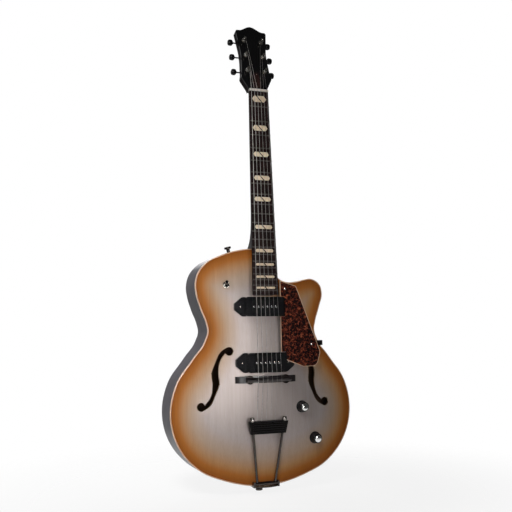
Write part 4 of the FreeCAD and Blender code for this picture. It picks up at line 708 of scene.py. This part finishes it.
def screw_heads(name: str, spots: Sequence[Spot], radius: float, finish: Finish, nodes: Sequence[str] = (),
                rise: float = 0.0008) -> Piece:
    """Screw heads seated on surfaces of the root body.

    Args:
        name: The piece's name.
        spots: Seats with their outward directions.
        radius: The heads' radius in metres.
        finish: The finish.
        nodes: CAD nodes that they replace.
        rise: The heads' height in metres.

    Returns:
        The piece.
    """
    slot_share = 0.32
    base = bpy.data.meshes.new(name + "_seats")
    base.from_pydata([spot for spot, _ in spots], [], [])
    aims = base.attributes.new("aim", "FLOAT_VECTOR", "POINT")
    for item, (_, aim) in zip(aims.data, spots):
        item.vector = aim
    return grown(name, NodeTrees.screws(), Matrix.Identity(4), finish, "root", nodes, base, Radius=radius, Rise=rise,
                 Slot=radius * slot_share)


@dataclass(frozen=True)
class Lamp:
    """A soft square lamp: its place, its aim, its side in metres, its watts and its beam in degrees."""

    name: str
    place: Point
    look: Point
    size: float
    power: float
    spread: float = 180.0

    def build(self) -> None:
        """Makes the lamp."""
        data = bpy.data.lights.new(self.name, "AREA")
        data.size, data.energy, data.spread = self.size, self.power, math.radians(self.spread)
        lamp = linked(self.name, data)
        lamp.matrix_world = basis(Vector(self.place), Vector(self.place) - Vector(self.look))


@dataclass
class Studio:
    """The camera, the light and the pale surroundings."""

    eye: Point = (-0.5603, -1.5492, 0.3289)
    look: Point = (-0.01128, -0.038, 0.49964)
    roll_deg: float = -1.04
    lens_mm: float = 52.39
    fill: float = 0.05
    fill_tint: Colour = (1.0, 0.985, 0.97)
    front_dim: float = 0.06
    back_bright: float = 0.55
    dim_until: float = -0.05
    bright_from: float = 0.6
    floor_gap: float = 0.0006
    floor_reach: float = 0.9
    floor_tone: float = 0.9
    fade_start: float = 0.3
    fade_stop: float = 0.95
    shadow_share: float = 0.14
    lamps: tuple[Lamp, ...] = (
        Lamp("key", (-0.80, -0.90, 1.30), (-0.376, 0.0, 0.42), 0.7, 1.75, 28.7),
        Lamp("sheen", (0.14, -2.0, 0.30), (-0.07, 0.0, 0.335), 0.5, 0.31, 22.0),
        Lamp("front", (-0.58, -2.3, 0.22), (0.0, 0.0, 0.35), 0.5, 3.0),
        Lamp("neck", (-0.75, -1.5, 0.95), (0.0, 0.0, 0.82), 0.3, 0.18, 24.0),
        Lamp("back", (0.6, 1.8, 1.3), (0.0, 0.0, 0.5), 1.2, 12.0))

    def build(self) -> None:
        """Makes the camera, the world, the floor and the lamps."""
        scene = bpy.context.scene
        scene.view_settings.view_transform = "Standard"
        self.camera(scene)
        self.world(scene)
        self.floor()
        for lamp in self.lamps:
            lamp.build()

    def camera(self, scene: bpy.types.Scene) -> None:
        """Makes the camera at the photograph's viewing angle."""
        data = bpy.data.cameras.new("camera")
        data.lens, data.sensor_width, data.sensor_fit = self.lens_mm, 36.0, "HORIZONTAL"
        data.clip_start, data.clip_end = 0.01, 50.0
        camera = linked("camera", data)
        eye, roll = Vector(self.eye), Matrix.Rotation(math.radians(self.roll_deg), 4, "Z")
        camera.matrix_world = basis(eye, eye - Vector(self.look)) @ roll
        scene.camera = camera

    def world(self, scene: bpy.types.Scene) -> None:
        """Makes surroundings that look white, are darker in front as a studio is, and light the object softly."""
        world = bpy.data.worlds.new("white surroundings")
        scene.world = world
        world.use_nodes = True
        tree = world.node_tree
        tree.nodes.clear()
        path = put(tree, "ShaderNodeLightPath")
        seen = maths(tree, "MAXIMUM", path["Is Camera Ray"], path["Is Glossy Ray"])
        seen = maths(tree, "MAXIMUM", seen, path["Is Transmission Ray"])
        way = put(tree, "ShaderNodeSeparateXYZ", {0: put(tree, "ShaderNodeTexCoord")["Generated"]})
        front = put(tree, "ShaderNodeMapRange", {
            "Value": way["Y"], "From Min": self.dim_until, "From Max": self.bright_from,
            "To Min": self.front_dim, "To Max": self.back_bright})
        level = maths(tree, "MAXIMUM", front[0], path["Is Camera Ray"])
        white = put(tree, "ShaderNodeBackground", {"Strength": level, "Color": (1.0, 1.0, 1.0, 1.0)})
        soft = put(tree, "ShaderNodeBackground", {"Strength": self.fill, "Color": (*self.fill_tint, 1.0)})
        mix = put(tree, "ShaderNodeMixShader", {0: seen, 1: soft[0], 2: white[0]})
        put(tree, "ShaderNodeOutputWorld", {0: mix[0]})

    def floor(self) -> None:
        """Makes a pale floor that keeps a faint shadow and fades into the surroundings."""
        low, reach = CAD_BOUNDS[0][2] - self.floor_gap, self.floor_reach
        mesh = bpy.data.meshes.new("floor")
        mesh.from_pydata([(-reach, -reach, low), (reach, -reach, low), (reach, reach, low), (-reach, reach, low)],
                         [], [(0, 1, 2, 3)])
        floor = linked("floor", mesh)
        shader = Shader("pale floor")
        shader.set(Base_Color=(self.floor_tone, self.floor_tone, self.floor_tone, 1.0), Roughness=0.9)
        tree = shader.tree
        path = put(tree, "ShaderNodeLightPath")
        seen = maths(tree, "MAXIMUM", path["Is Camera Ray"], path["Is Glossy Ray"])
        mix = put(tree, "ShaderNodeMixShader", {
            0: maths(tree, "MULTIPLY", seen, 1.0 - self.shadow_share), 1: shader.bsdf.outputs[0],
            2: put(tree, "ShaderNodeEmission")[0]})
        away = put(tree, "ShaderNodeVectorMath", {0: shader.place}, operation="LENGTH")
        edge = put(tree, "ShaderNodeMapRange", {
            "Value": away["Value"], "From Min": self.fade_start * reach, "From Max": self.fade_stop * reach},
            interpolation_type="SMOOTHSTEP")
        clear = put(tree, "ShaderNodeBsdfTransparent")
        fade = put(tree, "ShaderNodeMixShader", {0: edge[0], 1: mix[0], 2: clear[0]})
        result = next(node for node in tree.nodes if node.type == "OUTPUT_MATERIAL")
        feed(tree, fade[0], result.inputs["Surface"])
        mesh.materials.append(shader.material)


@dataclass
class Soundbox:
    """The arched body with its binding."""

    cell: float = 0.007
    rounds: int = 5
    edge_step: float = 0.002
    rim_width: float = 0.004
    end_share: float = 0.76
    inset: float = 0.02
    facing: float = 0.5

    def flat(self, spot: Vector) -> Point:
        """A place in the top's outline, with its length shortened so that the burst reaches further at the ends."""
        return spot.x, 0.0, spot.z * self.end_share

    def edge_tree(self) -> KDTree:
        """Points along the binding, for distances to the edge."""
        shape = merged("top_binding")
        spots: list[Vector] = []
        for edge in shape.edges:
            first, last = (vert.co for vert in edge.verts)
            count = max(1, int((last - first).length / self.edge_step))
            spots += [first.lerp(last, k / count) for k in range(count + 1)]
        shape.free()
        tree = KDTree(len(spots))
        for index, spot in enumerate(spots):
            tree.insert(self.flat(spot), index)
        tree.balance()
        return tree

    def shaded_plate(self, node: str, finish: Finish, out: float) -> Piece:
        """A fine copy of a plate that knows how far each point lies from the edge, and where its wood is bare.

        Args:
            node: The plate's node.
            finish: Its finish.
            out: The sign along Y of its outer face.

        Returns:
            The piece.
        """
        shape = merged(node)
        for _ in range(self.rounds):
            long = [edge for edge in shape.edges if edge.calc_length() > self.cell]
            if not long:
                break
            bmesh.ops.subdivide_edges(shape, edges=long, cuts=1, use_grid_fill=False)
            bmesh.ops.triangulate(shape, faces=[face for face in shape.faces if len(face.verts) > 3])
        mesh = kept(shape, node + "_shaded")
        edge = self.edge_tree()
        reach = mesh.attributes.new("edge", "FLOAT", "POINT")
        for vert in mesh.vertices:
            reach.data[vert.index].value = edge.find(self.flat(vert.co))[2]
        bare = mesh.attributes.new("bare", "FLOAT", "FACE")
        for face in mesh.polygons:
            inner = edge.find(self.flat(face.center))[2] > self.rim_width
            bare.data[face.index].value = 1.0 if inner and face.normal.y * out < self.facing else 0.0
        piece = settle(node + "_piece", mesh, finish, "root", (node,))
        mesh.normals_split_custom_set(self.smooth_normals(mesh, NODES[node].data))
        return piece

    def smooth_normals(self, mesh: Mesh, source: Mesh) -> list[Vector]:
        """Normals for a fine mesh, blended from those of the node that it copies.

        Args:
            mesh: The fine mesh.
            source: The node's mesh.

        Returns:
            A normal for each corner of the fine mesh.
        """
        tree = face_tree(source)
        normals = [Vector(corner.vector) for corner in source.corner_normals]
        result: list[Vector] = []
        for face in mesh.polygons:
            for index in face.vertices:
                spot = mesh.vertices[index].co.lerp(face.center, self.inset)
                near, _, found, _ = tree.find_nearest(spot)
                corners = source.polygons[found]
                a, b, c = (source.vertices[v].co for v in corners.vertices)
                whole = (b - a).cross(c - a)
                area = max(whole.length_squared, 1e-24)
                u = (c - b).cross(near - b).dot(whole) / area
                v = (a - c).cross(near - c).dot(whole) / area
                first, second, third = (normals[k] for k in corners.loop_indices)
                result.append((first * u + second * v + third * (1.0 - u - v)).normalized())
        return result

    def build(self) -> None:
        """Shades the plates and finishes the rims and inner wood."""
        self.shaded_plate("top_plate", BURST, -1.0)
        self.shaded_plate("back_plate", BACK, 1.0)
        paint(SIDES, "bass_rib", "treble_rib", "cutaway_rib")
        paint(CREAM, "top_binding")
        paint(BARE_WOOD, "neck_block", "end_block", "tone_bars")


@dataclass
class NeckGroup:
    """The neck, its board and the headstock face."""

    cover_screw_inset: float = 0.0045
    screw_radius: float = 0.0014

    def build(self) -> None:
        """Finishes the neck and seats the cover's screws."""
        paint(NECK_WOOD, "neck")
        paint(NICKEL, "truss_rod")
        paint(ROSEWOOD, "fingerboard")
        paint(FRET_WIRE, "frets")
        paint(PEARL, "inlays")
        softened("nut", 0.0003, BONE)
        softened("headstock_veneer", 0.0006, HEAD_BLACK)
        softened("truss_rod_cover", 0.0004, BROWN)
        low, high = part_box("truss_rod_cover")
        spots = [on_front("truss_rod_cover", 0.0, z) for z in
                 (low.z + self.cover_screw_inset, high.z - self.cover_screw_inset)]
        screw_heads("cover_screws", spots, self.screw_radius, NICKEL)


@dataclass
class TunerSet:
    """The open-gear tuners: keys, posts, plates, bushings and their windings."""

    plate_back: float = 0.0032
    plate_shift: float = 0.004
    screw_spread: float = 0.0135
    screw_radius: float = 0.0018
    post_radius: float = 0.0030
    spool_rise: float = 0.0284
    spool_turns: float = 3.5
    spool_pitch: float = 7.4
    string_radii: tuple[float, ...] = (0.00062, 0.00052, 0.00042, 0.00022, 0.00025, 0.00032)
    worm_radius: float = 0.0021
    worm_wire: float = 0.0006
    worm_turns: float = 4.0
    worm_length: float = 0.009
    key_profile: Pairs = (
        (0.0, -8.4), (1.5, -8.4), (1.6, -8.1), (1.6, 17.0), (2.3, 17.6), (2.9, 18.6), (3.1, 19.2), (5.2, 19.6),
        (6.6, 20.8), (7.2, 22.8), (7.2, 26.0), (6.7, 28.4), (5.5, 30.0), (3.4, 30.8), (0.0, 31.0))

    def frame_of(self, index: int) -> tuple[Vector, Vector, Vector]:
        """A post's place, the way into the headstock and the way up it, by the tuner's number from 1."""
        place, axis = TURNS[f"post_{index}_turn"]
        inward = axis.normalized()
        return place, inward, Vector((1.0, 0.0, 0.0)).cross(inward)

    def key(self, index: int) -> None:
        """Turns one key's shaft and button, and cuts its worm."""
        middle, _ = TURNS[f"key_{index}_turn"]
        side = Side.BASS if middle.x < 0 else Side.TREBLE
        place = basis(middle, Vector((side.value, 0.0, 0.0)))
        turned(f"tuner_key_{index}_piece", self.key_profile, place, BLACK, f"key_{index}", (f"tuner_key_{index}",), 32)
        grown(f"worm_{index}", NodeTrees.coil(), place @ Matrix.Translation(UP * -self.worm_length / 2), NICKEL,
              f"key_{index}", Radius=self.worm_radius, Wire=self.worm_wire, Turns=self.worm_turns,
              Height=self.worm_length)

    def winding(self, index: int) -> None:
        """Winds the string's end on one post."""
        place, inward, _ = self.frame_of(index)
        wire = self.string_radii[index - 1]
        grown(f"winding_{index}", NodeTrees.coil(), basis(place - inward * self.spool_rise, inward), STEEL,
              f"post_{index}", Radius=self.post_radius + wire, Wire=wire, Turns=self.spool_turns,
              Height=self.spool_pitch * wire)

    def build(self) -> None:
        """Builds the six tuners."""
        spots: list[Spot] = []
        for index in range(1, len(self.string_radii) + 1):
            self.key(index)
            self.winding(index)
            place, inward, up = self.frame_of(index)
            softened(f"tuner_post_{index}", 0.0003, NICKEL, f"post_{index}")
            back = place - inward * self.plate_back
            spots += [(back + up * (self.plate_shift + shift), inward) for shift in
                      (-self.screw_spread, self.screw_spread)]
        softened("tuner_plates", 0.0002, NICKEL)
        softened("tuner_bushings", 0.0003, NICKEL)
        screw_heads("tuner_screws", spots, self.screw_radius, NICKEL)


@dataclass
class Pickups:
    """The two eared pickups with their screws."""

    ear_spread: float = 0.052
    screw_radius: float = 0.0022
    pole_radius: float = 0.0026
    pole_rise: float = 0.0013
    pole_sink: float = 0.0008
    face_depth: float = 0.0004

    def pole_spots(self) -> list[Spot]:
        """The seats of the pole screws, from the separate solids of their node."""
        shape = merged("pole_screws")
        poles: list[Spot] = []
        seen: set[bmesh.types.BMVert] = set()
        for vert in shape.verts:
            if vert in seen:
                continue
            island, stack = [], [vert]
            seen.add(vert)
            while stack:
                one = stack.pop()
                island.append(one.co)
                for edge in one.link_edges:
                    other = edge.other_vert(one)
                    if other not in seen:
                        seen.add(other)
                        stack.append(other)
            front = min(point.y for point in island)
            rim = [point for point in island if point.y < front + self.face_depth]
            poles.append((sum(rim, Vector()) / len(rim) - FRONT * self.pole_sink, FRONT))
        shape.free()
        return poles

    def build(self) -> None:
        """Builds the covers, the pole screws and the ear screws."""
        ear_spots: list[Spot] = []
        for name in ("neck", "bridge"):
            node = name + "_pickup_cover"
            low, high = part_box(node)
            ear_spots += [on_front(node, side.value * self.ear_spread, (low.z + high.z) / 2) for side in Side]
            softened(node, 0.0014, BLACK, segments=3)
            paint(COIL, name + "_pickup_coil")
        screw_heads("pickup_screws", ear_spots, self.screw_radius, AGED_NICKEL)
        screw_heads("pole_screws_piece", self.pole_spots(), self.pole_radius, CHROME, ("pole_screws",), self.pole_rise)


@dataclass
class Bridge:
    """The adjustable bridge."""

    rib_depth: float = 0.0006
    wheel_width: float = 0.0028
    ribs: int = 34

    def build(self) -> None:
        """Builds the base, the saddle and the knurled wheels."""
        softened("bridge_base", 0.0007, EBONY, segments=3)
        softened("bridge_saddle", 0.0005, EBONY, "saddle")
        paint(NICKEL, "bridge_posts")
        for name in ("bass", "treble"):
            node, body = name + "_thumbwheel", name + "_wheel"
            softened(node, 0.0003, DARK_METAL, body)
            low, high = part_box(node)
            grown(body + "_knurl", NodeTrees.knurl(), basis((low + high) / 2, FRONT), DARK_METAL, body,
                  Radius=(high.x - low.x) / 2, Width=self.wheel_width, Count=self.ribs, Depth=self.rib_depth)


@dataclass
class Trapeze:
    """The trapeze tailpiece on its hinge."""

    nut_radius: float = 5.4
    nut_steps: int = 12
    nut_zone: float = 0.0095
    tip_zone: float = 0.003
    screw_radius: float = 0.0022
    screws: Pairs = ((-0.016, -0.018), (0.016, -0.018), (-0.016, 0.006), (0.016, 0.006))
    below: float = -0.2

    def nuts(self) -> None:
        """Turns a ball nut on the end of each rod."""
        steps = [math.pi * k / self.nut_steps for k in range(1, self.nut_steps)]
        profile = ((0.0, -self.nut_radius),
                   *((self.nut_radius * math.sin(a), -self.nut_radius * math.cos(a)) for a in steps),
                   (0.0, self.nut_radius))
        shape = merged("tailpiece_rods")
        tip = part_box("tailpiece_rods")[1].z
        for side in Side:
            rim = [vert.co for vert in shape.verts if vert.co.z > tip - self.nut_zone and vert.co.x * side.value > 0]
            middle = sum(rim, Vector()) / len(rim)
            top = [spot for spot in rim if spot.z > tip - self.tip_zone]
            aim = sum(top, Vector()) / len(top) - middle
            turned(f"rod_nut_{side.name.lower()}", profile, basis(middle, aim), AGED_NICKEL, "root", (), 32)
        shape.free()

    def build(self) -> None:
        """Builds the bar, the rods with ball nuts, and the hinge with its screws."""
        softened("tailpiece_bar", 0.0005, BLACK_METAL)
        paint(DARK_METAL, "tailpiece_rods")
        paint(NICKEL, "tailpiece_pin")
        softened("tailpiece_hinge", 0.0004, DARK_METAL)
        self.nuts()
        spots = [hit("tailpiece_hinge", Vector((x, y, self.below)), UP) for x, y in self.screws]
        screw_heads("hinge_screws", spots, self.screw_radius, NICKEL)


@dataclass
class Guard:
    """The pickguard on its bracket."""

    screws: Pairs = ((0.104, 0.308), (0.045, 0.428))
    screw_radius: float = 0.0024

    def build(self) -> None:
        """Builds the guard, its edge, the bracket and the screws."""
        spots = [on_front("pickguard", x, z) for x, z in self.screws]
        paint(TORTOISE, "pickguard")
        paint(CREAM, "pickguard_edge")
        paint(BLACK, "pickguard_spacer")
        softened("pickguard_bracket", 0.0006, BLACK_METAL)
        screw_heads("guard_screws", spots, self.screw_radius, CHROME)


@dataclass
class Controls:
    """The knobs, the switch and the socket."""

    knob_profile: Pairs = (
        (0.0, 5.9), (9.9, 5.9), (10.0, 5.7), (10.0, 0.8), (12.5, 0.8), (12.8, 1.1), (12.8, 3.1), (12.5, 3.5),
        (11.5, 3.9), (11.2, 4.6), (10.4, 14.4), (10.1, 15.2), (9.5, 15.7), (8.6, 15.8), (0.0, 15.8))
    cap_profile: Pairs = (
        (0.0, -10.3), (3.0, -10.3), (3.0, 15.6), (7.8, 15.6), (7.8, 16.4), (7.5, 17.2), (6.6, 18.0), (5.0, 18.6),
        (3.0, 18.9), (0.0, 19.0))

    def build(self) -> None:
        """Builds the knobs with bright caps on their spindles, the switch and the socket."""
        for name in ("volume", "tone"):
            place = basis(*TURNS[name + "_turn"])
            turned(name + "_knob_piece", self.knob_profile, place, BLACK, name, (name + "_knob",))
            turned(name + "_cap", self.cap_profile, place, CHROME, name, (name + "_spindle",))
        paint(NICKEL, "control_pots")
        softened("toggle_switch", 0.0004, NICKEL)
        softened("toggle_lever", 0.0012, BLACK, "toggle", 3)
        softened("output_jack", 0.0004, NICKEL)


@dataclass
class Hardware:
    """The strings and the strap buttons."""

    round_width: float = 0.0013

    def build(self) -> None:
        """Finishes the strings and rounds the strap buttons."""
        paint(STEEL, "strings")
        softened("strap_buttons", self.round_width, DARK_METAL, segments=4)


def main() -> None:
    """Builds the studio and each sub-assembly in order."""
    logging.basicConfig(level=logging.INFO, format="%(name)s %(message)s")
    makers: Sequence[Callable[[], object]] = (
        Studio, Soundbox, NeckGroup, TunerSet, Pickups, Bridge, Trapeze, Guard, Controls, Hardware)
    for maker in makers:
        maker().build()


if __name__ == "__main__":
    main()
